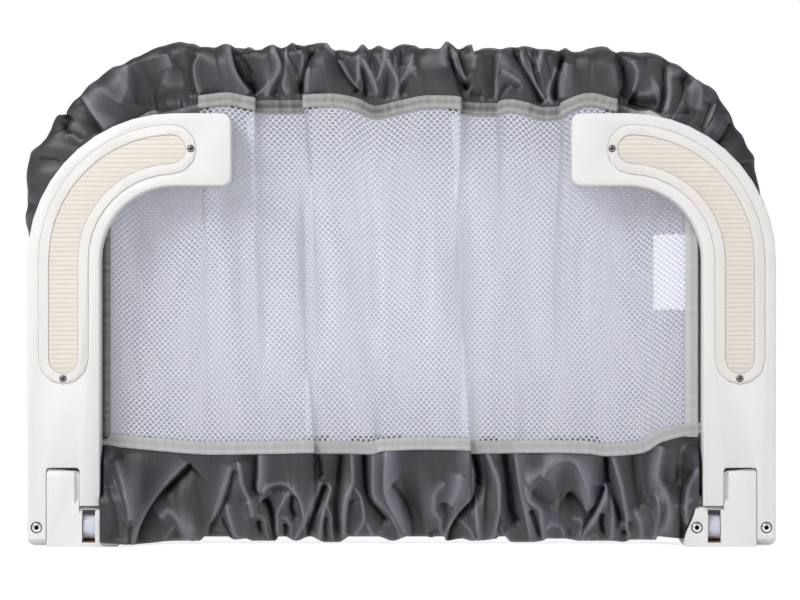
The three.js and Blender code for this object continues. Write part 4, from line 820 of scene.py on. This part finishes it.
for level in ("top", "lower"):
    finish_node(f"{level}_inner_tube", "right_frame", "tube_steel", 0.1, 50)
    finish_node(f"{level}_snap_clip", "right_frame", "zinc_steel", 0.1)
    finish_node(f"{level}_glide_collar", "left_frame", "hub_plastic", 0.2)


# Cloth. A sleeve's surface has a place s, or x, along its tube and a place v round its section,
# from 0 at the front seam over 0.5 at the outer line to 1 at the back seam.


def rail_place(s):
    """Point on the tube's middle line at distance s from the middle of the top, and the outward
    direction there: straight top, quarter circle, then straight down each side."""
    side, along = np.sign(s), np.abs(s)
    turn = np.clip((along - BEND_X) / BEND_RADIUS, 0, np.pi / 2)
    down = np.maximum(0, along - BEND_X - BEND_LENGTH)
    out_x, out_z = np.sin(turn), np.cos(turn)
    x = np.minimum(along, BEND_X) + BEND_RADIUS * out_x
    return side * x, BEND_Z + BEND_RADIUS * out_z - down, side * out_x, out_z


def sleeve_section(v, edge, reach, half_depth, bulge):
    """The plain section of a sleeve round a tube: a rounded arch from the front edge over the
    outer line to the back edge. Outwards it is the sine of the angle to the power 0.7; in depth
    the cosine to the power 0.8, pushed out by bulge at 45 degrees."""
    angle = np.pi * v
    across = np.sign(np.cos(angle)) * np.abs(np.cos(angle)) ** 0.8
    depth = half_depth * across + bulge * np.sin(2 * angle)
    return -edge + (edge + reach) * np.sin(angle) ** 0.7, -depth


def on_front(v):
    """1 on a sleeve's front, down to 0 just behind its outer line."""
    return 1 - ease((v - 0.44) / 0.14)


def off_seams(v, width):
    """0 at both seams, up to 1 at a width from them."""
    return ease(v / width) * ease((1 - v) / width)


def section_rows(count, front, plain):
    """Places 0 to 1 round a sleeve's plain section, evenly spaced by length, count * front of them
    on the front half."""
    fine = np.linspace(0, 1, 2001)
    steps = np.hypot(*np.diff(sleeve_section(fine, *plain), axis=1))
    length = np.concatenate([[0], np.cumsum(steps)])
    half = np.interp(0.5, fine, length)
    ahead = int(count * front)
    run = np.concatenate([
        np.linspace(0, half, ahead, endpoint=False), np.linspace(half, length[-1], count - ahead)
    ])
    return np.interp(run, length, fine)[None, :]


def folds(s, v, creases, crest, depth, pinch, seed):
    """Height of gathered cloth over its plain surface, and the lean of its flanks along s.

    Each crease is a list of (v, s, strength). Between two creases, t runs from 0 to 1 and the
    cloth stands up as a pillow, (4 t (1 - t)) to the power 0.72, from the floor of the creases;
    the floor falls from the crest by crest + depth where the strength is 1. The flanks lean over
    the creases by pinch times the width times sin(2 pi t)."""
    creases = sorted(creases, key=lambda knots: np.mean([k[1] for k in knots]))
    place = np.array([smooth_line(*zip(*[k[:2] for k in knots]), v[0]) for knots in creases])
    force = np.array([np.interp(v[0], [k[0] for k in knots], [k[2] for k in knots]) for knots in creases])
    order = 5.0 * np.arange(len(creases))[:, None]
    place = np.maximum.accumulate(place - order, axis=0) + order
    width = np.diff(place, axis=0)
    height = crest * np.tanh(width / 34)
    at_crease = np.vstack([height[:1], (height[:-1] + height[1:]) / 2, height[-1:]])
    floor = at_crease - (at_crease + depth) * force
    k = np.clip((s[..., None] > place).sum(1) - 1, 0, len(creases) - 2)
    column = np.arange(v.size)[None, :]
    wide = width[k, column]
    t = np.clip((s - place[k, column]) / wide, 0, 1)
    t_crest = t ** np.exp(np.random.default_rng(seed).uniform(-0.45, 0.45, len(creases)))[k]
    pillow = (4 * t_crest * (1 - t_crest)) ** 0.72
    base = floor[k, column] + (floor[k + 1, column] - floor[k, column]) * ease(t)
    hold = (force[k, column] + force[k + 1, column]) / 2
    lean = -pinch * wide * np.sin(2 * np.pi * t) * hold
    return base + (height[k, column] - base) * pillow, lean


def gathered(s, v, creases, end, drawn, **looks):
    """The folds between creases, closed off past both ends, and lower where lines are drawn; looks
    are the crest, depth, pinch and seed of the folds."""
    closed = [[(0.0, place, 0.6), (1.0, place, 0.6)] for place in (-end, end)]
    height, lean = folds(s, v, creases + closed, **looks)
    return height * (0.6 - 0.35 * drawn), lean * (0.5 - 0.25 * drawn)


def ripples(s, v, size, seed, count=16, long_way=150.0, short_way=15.0):
    """Small soft wrinkles: a sum of sine waves, mostly across s, with seeded slants and phases."""
    chance = np.random.default_rng(seed)
    total = np.zeros(np.broadcast(s, v).shape)
    for _ in range(count):
        pitch = short_way * np.exp(chance.uniform(-0.5, 0.9))
        slant = chance.normal(0, 1) / long_way
        bend = chance.uniform(0.5, 2.5)
        phase = chance.uniform(0, 2 * np.pi)
        total += np.sin(2 * np.pi * (s / pitch + v * slant * 60) + phase + bend * np.sin(v * 3 + phase))
    return size * total / np.sqrt(count)


def wrinkles(s, v, seed, share, small, broad_size, broad_pitch, gather, gather_pitch):
    """Small and broad wrinkles where share is 1, with tight gathers at both seams, and the broad
    ones by themselves. A seam's gathers die out as exp(-distance / 0.05)."""
    broad = ripples(s, v, 1.0, seed + 2, count=10, long_way=45, short_way=broad_pitch)
    tight = ripples(s, v * 0.2, gather, seed + 1, short_way=gather_pitch)
    at_seams = (np.exp(-v / 0.05) + np.exp(-(1 - v) / 0.05)) * ease(v / 0.02)
    return (ripples(s, v, small, seed) + broad_size * broad) * share + tight * at_seams, broad


def cloth_tone(height, drawn_tone, more, reach=7):
    """Painted light and shade for the cloth: the tone of the drawn lines, half the tone of the folds,
    and a little more, lighter where a broad wrinkle stands up. The folds' is 0, painted shade, in a
    hollow, 0.5 on plain cloth and 1, a painted highlight, on a crest: the height less its mean over
    the neighbours on both sides, worked out from running sums."""
    span = 2 * reach + 1
    padded = np.pad(height, ((reach + 1, reach), (0, 0)), mode="edge").cumsum(0)
    over = height - (padded[span:] - padded[:-span]) / span
    painted_light_tone = np.clip(0.5 + np.where(over > 0, over / 3.4, over / 8), 0, 1)
    return np.clip(0.5 * painted_light_tone + drawn_tone - 0.25 + more, 0, 1)


def keep_behind(y, limit, softness=0.7):
    """Depth held behind a limit: the limit plus the soft maximum of 0 and what lies behind it."""
    return limit + softness * np.logaddexp(0, (y - limit) / softness)


def clear_of_tube(outward, y, x):
    """Points of a sleeve moved straight out from the tube's middle line to TUBE_CLEAR, or to
    COLLAR_CLEAR where the glide collar and the snap buttons are."""
    radius = np.hypot(outward, y - PANEL_Y)
    clear = np.where((x > COLLAR_X[0]) & (x < COLLAR_X[1]), COLLAR_CLEAR, TUBE_CLEAR)
    out = np.maximum(1, clear / np.maximum(radius, 0.1))
    return outward * out, PANEL_Y + (y - PANEL_Y) * out


def add_sheet_facts(piece, slot, flat, rests_on, replaced, **more):
    """Bakes a gathered cloth piece's place into its mesh, and hides the nodes that it replaces."""
    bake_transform(piece)
    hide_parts(*replaced)


def upright_creases(seed):
    """Seeded creases across the parts of the cover that hang down the uprights."""
    chance = np.random.default_rng(seed)
    found = []
    for side in (-1, 1):
        place = COVER_TOP
        while place < COVER_END - 6:
            found.append((side * place, side * place + chance.uniform(-9, 9),
                          side * place + chance.uniform(-14, 14), chance.uniform(0.4, 0.9)))
            place += chance.uniform(20, 38)
    return tuple(found)


def cover_creases():
    """The cover's creases, each as (v, s, strength) from the binding over the outer line to the
    back, where they drift by chance."""
    chance = np.random.default_rng(5)
    creases = []
    for top, middle, binding, force in COVER_CREASES + upright_creases(11):
        drift = chance.uniform(-8, 8)
        creases.append([
            (0.0, binding, 0.5 * force), (0.18, (binding + middle) / 2, force), (0.3, middle, force),
            (0.5, top, force), (0.75, top + (top - middle) * 0.4 + drift, force),
            (1.0, top + drift * 1.6, 0.5 * force),
        ])
    return creases


def place_at_binding(s, v):
    """Where a point of the cover lies along the binding: on the front, straight lines between the
    pleats' edges at its height; on the sides, its own place."""
    edges = [np.array([seen_at(point) for point in line]) for line in PLEAT_EDGES]
    feet = [-COVER_TOP, *[line[0, 0] for line in edges], COVER_TOP]
    place = s + 0 * v
    top = np.abs(s[:, 0]) < COVER_TOP
    for row, level in enumerate(np.maximum.accumulate(sleeve_section(v[0], *COVER_PLAIN)[0])):
        lines = [np.interp(level + TOP_TUBE_Z, line[:, 1], line[:, 0]) for line in edges]
        place[top, row] = np.interp(s[top, 0], [-COVER_TOP, *lines, COVER_TOP], feet)
    return place


def make_rail_cover():
    """The gathered sleeve over the left side, the top and the right side."""
    outer = np.linspace(COVER_TOP, COVER_END, 150)[1:]
    s = np.concatenate([-outer[::-1], np.linspace(-COVER_TOP, COVER_TOP, 1000), outer])[:, None]
    v = section_rows(76, 0.66, COVER_PLAIN)
    drawn = on_front(v) * (1 - ease((np.abs(s) - 390) / 30))
    looks = {"crest": 5.0, "depth": 8.5, "pinch": 0.13, "seed": 3}
    height, lean = gathered(s, v, cover_creases(), COVER_END + 4, drawn, **looks)
    reach = smooth_line(*zip(*COVER_REACH), s)
    window = np.hanning(121) / np.hanning(121).sum()
    calm = np.convolve(np.pad(reach[:, 0], 60, mode="edge"), window, "valid")[:, None]
    at_line = bell(v - 0.5, 0.09)
    sewn = off_seams(v, 0.14)
    soft, broad = wrinkles(
        s, v, 21, sewn, small=0.2, broad_size=0.9, broad_pitch=30, gather=0.2, gather_pitch=6.0
    )
    height = height * sewn * (1 - at_line) + (reach - calm) * at_line + soft
    tape_x, tape_z, tape_back = rising_knots(TOP_TAPE)
    corner = ease((np.abs(s) - 200) / 150)
    edge = np.where(np.abs(s) < 200, TOP_TUBE_Z - np.interp(s, tape_x, tape_z), 32 + 8.5 * corner)
    sewn_at = place_at_binding(s, v)
    recess = np.interp(sewn_at, tape_x, tape_back) * (1 - ease((np.abs(sewn_at) - 215) / 60))
    outward, depth = sleeve_section(v, edge, calm, *COVER_PLAIN[2:])
    near = s + lean * sewn
    x, z, out_x, out_z = rail_place(near)
    relief, tone = drawn_relief(x + out_x * outward, z + out_z * outward, COVER_LINES)
    height = height + relief * drawn * ease(v / 0.03)
    outward = outward + height * np.sin(np.pi * v)
    closing = ease((np.abs(near) - COVER_END + 16) / 16)
    outward = np.where(outward > 0, outward * (1 - 0.25 * closing), outward)
    y = PANEL_Y + depth - height * np.cos(np.pi * v) + recess * (1 - ease(v / 0.42))
    behind_arm = ease((np.abs(x) - ARM_TIP_X + 16) / 12)
    y = keep_behind(y, COVER_FRONT_Y + (BEHIND_ARM_Y - COVER_FRONT_Y) * behind_arm)
    outward, y = clear_of_tube(outward, y, x)
    # Painted highlights on the cover's crests and painted shade in its hollows and creases
    tone = cloth_tone(height + reach * at_line, tone, 0.05 * broad)
    points = rows_of(x + out_x * outward, y, z + out_z * outward)
    faces = grid_faces(s.size, v.size, flip=True)
    piece = make_piece("rail_cover", points, faces, satin, rows_of(s, v * COVER_AROUND), tone=tone)
    add_sheet_facts(
        piece, "satin_cloth", (1.30, 0.18), ["left_corner_tube", "right_corner_tube"],
        ("top_cover", "left_side_cover", "right_side_cover"),
    )


def skirt_creases(v):
    """The skirt's creases, each as (v, x, strength) from the binding down to the hem and up the
    back, where they drift by chance."""
    plain_z = LOW_TUBE_Z - sleeve_section(v, *SKIRT_PLAIN)[0]
    half = np.searchsorted(v, 0.5)
    chance = np.random.default_rng(8)
    creases = []
    for force, *line in SKIRT_CREASES:
        places = np.interp([-z for _, z in line], -plain_z[:half], v[:half])
        first, last = line[0][0], line[-1][0]
        drift = chance.uniform(-10, 10)
        creases.append([
            (0.0, first, 0.4 * force),
            *[(max(0.03, p), x, force) for p, (x, _) in zip(places, line) if p < 0.47],
            (0.5, last, force), (0.7, last + drift, force), (1.0, last + 2 * drift, 0.5 * force),
        ])
    return creases


def skirt_depth(x, y, z, v, height):
    """The skirt's depth beside the arms: its front comes out over the left foot, to OVER_FOOT_Y,
    and beside the right foot and both arms, to BESIDE_ARM_Y. Behind the arms' uprights it stays."""
    ahead = 1 - ease((v - 0.455) / 0.035)
    ahead = ahead * (1 - ease((np.abs(x) - 268.4) / 2) * ease((z - 45) / 4))
    raised = np.maximum(0, height + 4)
    over_foot = ease((-x - 208) / 44) * ease((84 - z) / 46) * ahead
    y = y + over_foot * (OVER_FOOT_Y - 0.6 * raised - y)
    beside_foot = ease((x - 222) / 34) * ease((58 - z) / 24) * ahead
    y = y + beside_foot * (BESIDE_ARM_Y - 0.5 * raised - y)
    beside_arm = ease((np.abs(x) - 252) / 14) * ease((94 - z) / 18) * ahead
    return y + beside_arm * np.minimum(0, BESIDE_ARM_Y - y)


def make_skirt():
    """The gathered cloth from the lower binding down round the lower tubes and up the back."""
    x = np.linspace(-SKIRT_HALF, SKIRT_HALF, 1000)[:, None]
    v = section_rows(96, 0.68, SKIRT_PLAIN)
    drawn = on_front(v)
    looks = {"crest": 6.5, "depth": 8.0, "pinch": 0.12, "seed": 4}
    height, lean = gathered(x, v, skirt_creases(v[0]), SKIRT_HALF + 3, drawn, **looks)
    sewn = off_seams(v, 0.12)
    at_hem = bell(v - 0.5, 0.07)
    free = sewn * (1 - at_hem)
    soft, broad = wrinkles(
        x, v, 31, free, small=0.25, broad_size=1.6, broad_pitch=34, gather=0.08, gather_pitch=6.5
    )
    height = height * free + soft
    tape_x, tape_z, tape_back = rising_knots(LOW_TAPE)
    edge = np.interp(x, tape_x, tape_z) - LOW_TUBE_Z
    hem = smooth_line(*zip(*HEM_LINE), x)
    outward, depth = sleeve_section(v, edge, LOW_TUBE_Z - hem, SKIRT_HALF_DEPTH, SKIRT_PLAIN[3])
    near = x + lean * sewn
    level = LOW_TUBE_Z - outward
    half_length = smooth_line(*zip(*SKIRT_ENDS), level)
    half_length = np.where(near > 0, half_length, np.maximum(SKIRT_LEFT, half_length))
    share = ease((np.abs(near) - 190) / (SKIRT_HALF - 190))
    near = near - np.sign(near) * share * (SKIRT_HALF - half_length) * np.minimum(1, share * 1.2)
    relief, tone = drawn_relief(near, level, SKIRT_LINES)
    height = height + relief * drawn * ease(v / 0.02) * (1 - 0.6 * at_hem)
    outward = outward + height * np.sin(np.pi * v) * (1 - bell(v - 0.5, 0.1))
    recess = np.interp(x, tape_x, tape_back) * (1 - ease(v / 0.3))
    y = PANEL_Y + depth - height * np.cos(np.pi * v) + recess
    behind_arm = ease((np.abs(near) - 244) / 18)
    y = keep_behind(y, SKIRT_FRONT_Y + (BEHIND_ARM_Y - SKIRT_FRONT_Y) * behind_arm)
    outward, y = clear_of_tube(outward, y, near)
    z = np.maximum(LOW_TUBE_Z - outward, HEM_LOWEST_Z)
    points = rows_of(near, skirt_depth(near, y, z, v, height), z)
    # Painted highlights on the skirt's crests and painted shade in its hollows and creases
    tone = cloth_tone(height, tone, 0.07 * broad)
    faces = grid_faces(x.size, v.size)
    piece = make_piece("skirt", points, faces, satin, rows_of(x, v * SKIRT_AROUND), tone=tone)
    add_sheet_facts(
        piece, "satin_cloth", (0.78, 0.185), ["left_lower_tube", "right_lower_tube"], ("skirt_cover",)
    )


def ribbon(name, route, replaced, levels, ring=True):
    """A folded tape along a route of (x, height, depth): flat, TAPE_HEIGHT high, its thickness
    TAPE_THICKNESS times the root of 1 - w to the power 6, where w runs from -1 to 1 across it.
    It stands outward from the frame, or upright where it isn't part of the ring. Its tone is painted
    light and shade: it comes from levels, which are x and tone, and falls with the depth of a pleat as
    painted shade; a row of stitches runs near the lower edge, where the tape is also lighter, and the
    tape is darker across its middle."""
    run, length = even_route(route, len(route) * 24)
    ahead = np.gradient(run, axis=0)
    ahead /= np.linalg.norm(ahead, axis=1)[:, None]
    past_x = np.maximum(np.abs(run[:, 0]) - BEND_X, 0) * ring
    past_z = np.where(past_x > 0, np.maximum(run[:, 1] - BEND_Z, 0), 1)
    hold = np.stack([np.sign(run[:, 0]) * past_x, past_z, 0 * past_x], -1)
    across = hold - ahead * (hold * ahead).sum(1)[:, None]
    across /= np.linalg.norm(across, axis=1)[:, None]
    w = np.concatenate([np.linspace(1, -1, 7)[:-1], np.linspace(-1, 1, 13)[:-1]])
    side = np.where(np.arange(len(w)) < 6, 1, -1)
    thick = side * np.sqrt(1 - np.abs(w) ** 6) * TAPE_THICKNESS / 2
    body = run[:, None] + across[:, None] * (w * TAPE_HEIGHT / 2)[None, :, None]
    body = body + np.cross(ahead, across)[:, None] * thick[None, :, None]
    ends = [np.arange(len(w))[None, ::-1], np.arange(len(w))[None, :] + (len(run) - 1) * len(w)]
    around = (1 - side * w) * TAPE_HEIGHT / 2 + np.where(side < 0, TAPE_HEIGHT, 0)
    along = np.linspace(0, length, len(run))[:, None]
    behind = np.clip(run[:, 2] - TAPE_FRONT_Y - 1, 0, 12) * (run[:, 2] < PANEL_Y)
    # Painted shade: the tape is darker the further a pleat lies back
    tone = (np.interp(run[:, 0], *levels) - 0.018 * behind)[:, None]
    stitched = np.where(np.abs(w + 0.66) < 0.1, -0.16, 0) + np.where(w < -0.4, 0.12, 0)
    stitched = stitched - 0.1 * bell(w - 0.1, 0.3)
    tone = tone + stitched + ripples(along, 0.1 * w[None, :], 0.03, 61, short_way=9)
    faces = [grid_faces(len(run), len(w), wrap=True), *ends]
    points = body[..., [0, 2, 1]].reshape(-1, 3)
    piece = make_piece(name, points, faces, tape, rows_of(along, around), tone=np.clip(tone, 0, 1))
    add_sheet_facts(
        piece, "binding_tape", (length * MM, TAPE_HEIGHT * 2 * MM), ["rail_cover"], replaced,
        area=length * TAPE_HEIGHT * 1e-6,
    )


def side_route(side, inset_side, y, inset_top=34):
    """The binding's way from the foot of one side up and round the corner, inside the tube."""
    s = np.concatenate([np.linspace(COVER_END - 2, 380, 8), np.linspace(365, 236, 8)])
    x, z, out_x, out_z = rail_place(s)
    inset = inset_side + (inset_top - inset_side) * (1 - ease((s - 220) / 145))
    return [(side * (a - c * i), b - d * i, y) for a, b, c, d, i in zip(x, z, out_x, out_z, inset)]


def back_knots(length, height, seed, back_y, sag=1.5):
    """Seeded soft waves of a tape or net at the back: (x, height, depth) knots."""
    chance = np.random.default_rng(seed)
    return [
        (x, height + chance.uniform(-sag, sag), back_y - chance.uniform(0, 5))
        for x in np.linspace(-length, length, 24)
    ]


def make_bindings():
    """Tapes at the front and back of the cover's ring and of the skirt."""
    front = [(x, z, TAPE_FRONT_Y + b) for x, z, b in TOP_TAPE]
    back_y = 2 * PANEL_Y - TAPE_FRONT_Y
    # The tone levels are painted light and shade: the front ring darkest up the left side as the left arm's
    # painted shadow and lightest up the right, and the lower front tape lighter than the top
    rings = (
        ("front", 35, TAPE_FRONT_Y + 1, front, ((-230, -200, 200, 230), (0.2, 0.39, 0.39, 0.8))),
        ("back", 41, back_y, back_knots(205, 404, 41, back_y), ((0,), (0.5,))),
    )
    for face, left_inset, y, top, levels in rings:
        route = [*side_route(-1, left_inset, y), *top, *side_route(1, 41, y)[::-1]]
        replaced = [f"{part}_binding_{face}" for part in ("top", "left_side", "right_side")]
        ribbon(f"cover_binding_{face}", route, replaced, levels)
    low = [(x, z, TAPE_FRONT_Y + b) for x, z, b in LOW_TAPE]
    ribbon("skirt_binding_front", low, ("lower_binding_front",), ((0,), (0.68,)), ring=False)
    low = back_knots(268, 92, 43, back_y)
    ribbon("skirt_binding_back", low, ("lower_binding_back",), ((0,), (0.5,)), ring=False)


def make_net(name, low, middle, top, replaced, hole, material):
    """A sheet of six-sided meshes. A mesh's place is (p, q), p by length along the lower and upper
    routes and q up from one to the other; each mesh is a ring between its own hexagon and the
    same hexagon drawn in to the hole's shares of its width and height. Its tone is painted light: a
    half, a share of how steeply its mesh turns back from left to right, so that a mesh facing the key
    lamp on the left is lighter, and a painted glow rising to the middle of the sheet, the product of
    a sine across and a sine up."""
    steps = np.linspace(0, 1, 1600)
    routes = [even_route(route, len(steps)) for route in (low, middle, top)]
    columns = int(max(length for _, length in routes) / NET_PITCH)
    rows = int((TOP_TUBE_Z - COVER_PLAIN[0] - SKIRT_TOP_Z) / NET_ROW)
    column, row = np.meshgrid(np.arange(columns), np.arange(rows), indexing="ij")
    column, row = column.reshape(-1, 1), row.reshape(-1, 1)
    centre_u, centre_w = column + 0.5 + (row % 2) * 0.5, row + 0.5
    corner_u = np.array([0.5, 0.5, 0.0, -0.5, -0.5, 0.0])
    corner_w = np.array([-1 / 3, 1 / 3, 2 / 3, 1 / 3, -1 / 3, -2 / 3])

    def surface(u, w, back):
        """Points at places counted in meshes; the net leans half way after its middle route."""
        p, q = np.clip(u / (columns + 0.5), 0, 1), np.clip(w / rows, 0, 1)
        low, middle, top = (
            [np.interp(p, steps, line) for line in route.T] for route, _ in routes
        )
        below, above = ease(1 - 2 * q), ease(2 * q - 1)
        mixed = [a * below + b * (1 - below - above) + c * above for a, b, c in zip(low, middle, top)]
        flat = [a * (1 - q) + c * q for a, c in zip(low, top)]
        share = 0.5 * np.sin(np.pi * q)
        return np.stack([flat[0] * (1 - share) + mixed[0] * share, mixed[2] + back, flat[1]], -1)

    outer = surface(centre_u + corner_u, centre_w + corner_w, 0.0)
    inner = surface(centre_u + corner_u * hole[0], centre_w + corner_w * hole[1], 0.25)
    past_x = np.abs(outer[..., 0].mean(1)) - BEND_X
    past_z = outer[..., 2].mean(1) - BEND_Z
    inside = ~((past_x > 0) & (past_z > 0) & (np.hypot(past_x, past_z) > NET_CORNER_RADIUS))
    outer, inner, centre_u, centre_w = outer[inside], inner[inside], centre_u[inside], centre_w[inside]
    count = len(outer)
    corners = rows_of(centre_u + corner_u, centre_w + corner_w)
    keys = np.round(corners * (2, 3)).astype(np.int64) @ (100000, 1)
    _, first, shared = np.unique(keys, return_index=True, return_inverse=True)
    points = np.concatenate([outer.reshape(-1, 3)[first], inner.reshape(-1, 3)])
    shared = shared.reshape(count, 6)
    own = len(first) + np.arange(count * 6).reshape(count, 6)
    ahead, own_ahead = np.roll(shared, -1, axis=1), np.roll(own, -1, axis=1)
    faces = np.stack([shared, ahead, own_ahead, own], -1).transpose(1, 0, 2).reshape(-1, 4)
    uv = np.concatenate([corners[first], corners]) * (NET_PITCH, NET_ROW)
    # Painted light: lighter where a mesh turns towards the key lamp at the left, and a painted glow towards
    # the middle of the sheet
    turn = outer[:, :2].mean(1) - outer[:, 3:5].mean(1)
    turned = 0.5 + 0.55 * turn[:, 1] / np.maximum(turn[:, 0], 0.5)
    pale = np.sin(np.pi * centre_u / (columns + 1)) * np.sin(np.pi * centre_w / rows)
    turned = np.repeat(np.clip(turned + 0.3 * pale[:, 0] - 0.04, 0, 1), 6)
    piece = make_piece(name, points, faces, material, uv, tone=np.concatenate([turned[first], turned]))
    add_sheet_facts(
        piece, "netting", (columns * NET_PITCH * MM, rows * NET_ROW * MM), ["cover_binding_front"],
        (replaced,), area=count * NET_PITCH * NET_ROW * (1 - hole[0] * hole[1]) * 1e-6,
    )


def make_nets():
    """The two layers of netting in the ring of the cover."""
    behind_tape = 1.6
    front_y = TAPE_FRONT_Y + behind_tape
    low = [(-266, 95, 2), *[knot for knot in LOW_TAPE if abs(knot[0]) < 262], (266, 104, 0)]
    middle = [(x, 250, b) for x, b in NET_MIDDLE]
    top = [(-266, 397, 8.0), *TOP_TAPE, (266, 397, 8.0)]
    front = [[(x, z, front_y + b) for x, z, b in line] for line in (low, middle, top)]
    make_net("mesh_front", *front, "front_net", FRONT_HOLE, net_thread)
    back_y = 2 * PANEL_Y - front_y
    heights_and_seeds = ((88.5, 51), (250, 52), (408.5, 53))
    back = [back_knots(271, height, seed, back_y, 1.0) for height, seed in heights_and_seeds]
    make_net("mesh_back", *back, "back_net", BACK_HOLE, back_net_shade_and_glow)


def make_label():
    """A bare folded label sewn into the right side binding: a sheet that follows the back of the
    netting and curls a little in depth, as the sine of its width and of its height."""
    u, w = np.linspace(0, 1, 14)[:, None], np.linspace(0, 1, 28)[None, :]
    x = 229.5 + 30.5 * u
    net_y = TAPE_FRONT_Y + 3.8 + smooth_line(*zip(*NET_MIDDLE), x)
    y = net_y + 1.1 * np.sin(2.6 * u) * np.sin(3 * w + 0.4)
    points = rows_of(x, y, 213 + 68.5 * w + 0.7 * np.sin(np.pi * u))
    uv = points[:, [0, 2]]
    piece = make_piece("care_label_bare", points, grid_faces(14, 28), label_cloth, uv)
    settle(piece, "right_frame", "care_label")


make_rail_cover()
make_skirt()
make_bindings()
make_nets()
make_label()


# Stage, light and camera


def make_floor():
    """A wide floor: pale and lit for the object, and near white with the shadow for the camera."""
    material, nodes, shader = start_material("studio_floor", (0.8, 0.8, 0.8), 0.9)
    path = add_node(nodes, "LightPath").outputs
    seen = add_math(nodes, "MAXIMUM", path["Is Camera Ray"], path["Is Glossy Ray"])
    seen = add_math(nodes, "MAXIMUM", seen, path["Is Transmission Ray"])
    both = add_node(nodes, "AddShader")
    feed(both.inputs[0], add_node(nodes, "BsdfDiffuse", Color=(0.4, 0.4, 0.4)).outputs["BSDF"])
    feed(both.inputs[1], add_node(nodes, "Emission", Strength=0.8).outputs["Emission"])
    choice = mixed_shader(nodes, seen, shader.outputs["BSDF"], both.outputs["Shader"])
    set_node(nodes["Material Output"], Surface=choice)
    points = 9000.0 * np.array([(-1, -1, 0), (1, -1, 0), (1, 1, 0), (-1, 1, 0)])
    make_piece("studio_floor", points, np.array([[0, 1, 2, 3]]), material, smooth=False)


def make_world():
    """White for the camera and for what is seen through; plain levels for the light and the gloss."""
    world = bpy.data.worlds.new("studio")
    bpy.context.scene.world = world
    world.use_nodes = True
    nodes = world.node_tree.nodes
    path = add_node(nodes, "LightPath").outputs
    seen = add_math(nodes, "MAXIMUM", path["Is Camera Ray"], path["Is Transmission Ray"])
    light = set_node(nodes["Background"], Color=(0.97, 0.98, 1), Strength=0.55).outputs["Background"]
    white, gloss = (
        add_node(nodes, "Background", Color=(1, 1, 1), Strength=level).outputs["Background"]
        for level in (1.0, 0.16)
    )
    choice = mixed_shader(nodes, seen, light, white)
    choice = mixed_shader(nodes, path["Is Glossy Ray"], choice, gloss)
    set_node(nodes["World Output"], Surface=choice)


def add_softbox(name, place, aim, size, watts):
    """A square area lamp that looks from its place to its aim, both in metres."""
    lamp = bpy.data.lights.new(name, "AREA")
    lamp.shape = "SQUARE"
    lamp.size = size
    lamp.energy = watts
    box = bpy.data.objects.new(name, lamp)
    bpy.context.scene.collection.objects.link(box)
    box.location = place
    box.rotation_euler = (Vector(aim) - Vector(place)).to_track_quat("-Z", "Y").to_euler()


make_floor()
make_world()
add_softbox("key", (-1.65, -2.05, 2.2), (0, 0, 0.2), 1.2, 62)
add_softbox("fill", (2.2, -2.4, 1.1), (0, 0, 0.2), 1.6, 7)
add_softbox("rim", (0.3, 1.8, 2.2), (0, 0, 0.3), 1.6, 6)

camera_data = bpy.data.cameras.new("camera")
camera = bpy.data.objects.new("camera", camera_data)
bpy.context.scene.collection.objects.link(camera)
camera.location = (CAMERA_X * MM, (ARM_FRONT_Y - CAMERA_DISTANCE) * MM, CAMERA_Z * MM)
camera.rotation_euler = (np.pi / 2, 0, 0)
camera_data.sensor_width = 36
camera_data.lens = camera_data.sensor_width * CAMERA_DISTANCE / (PICTURE_WIDTH * PIXEL)
bpy.context.scene.camera = camera
bpy.context.scene.view_settings.view_transform = "Standard"
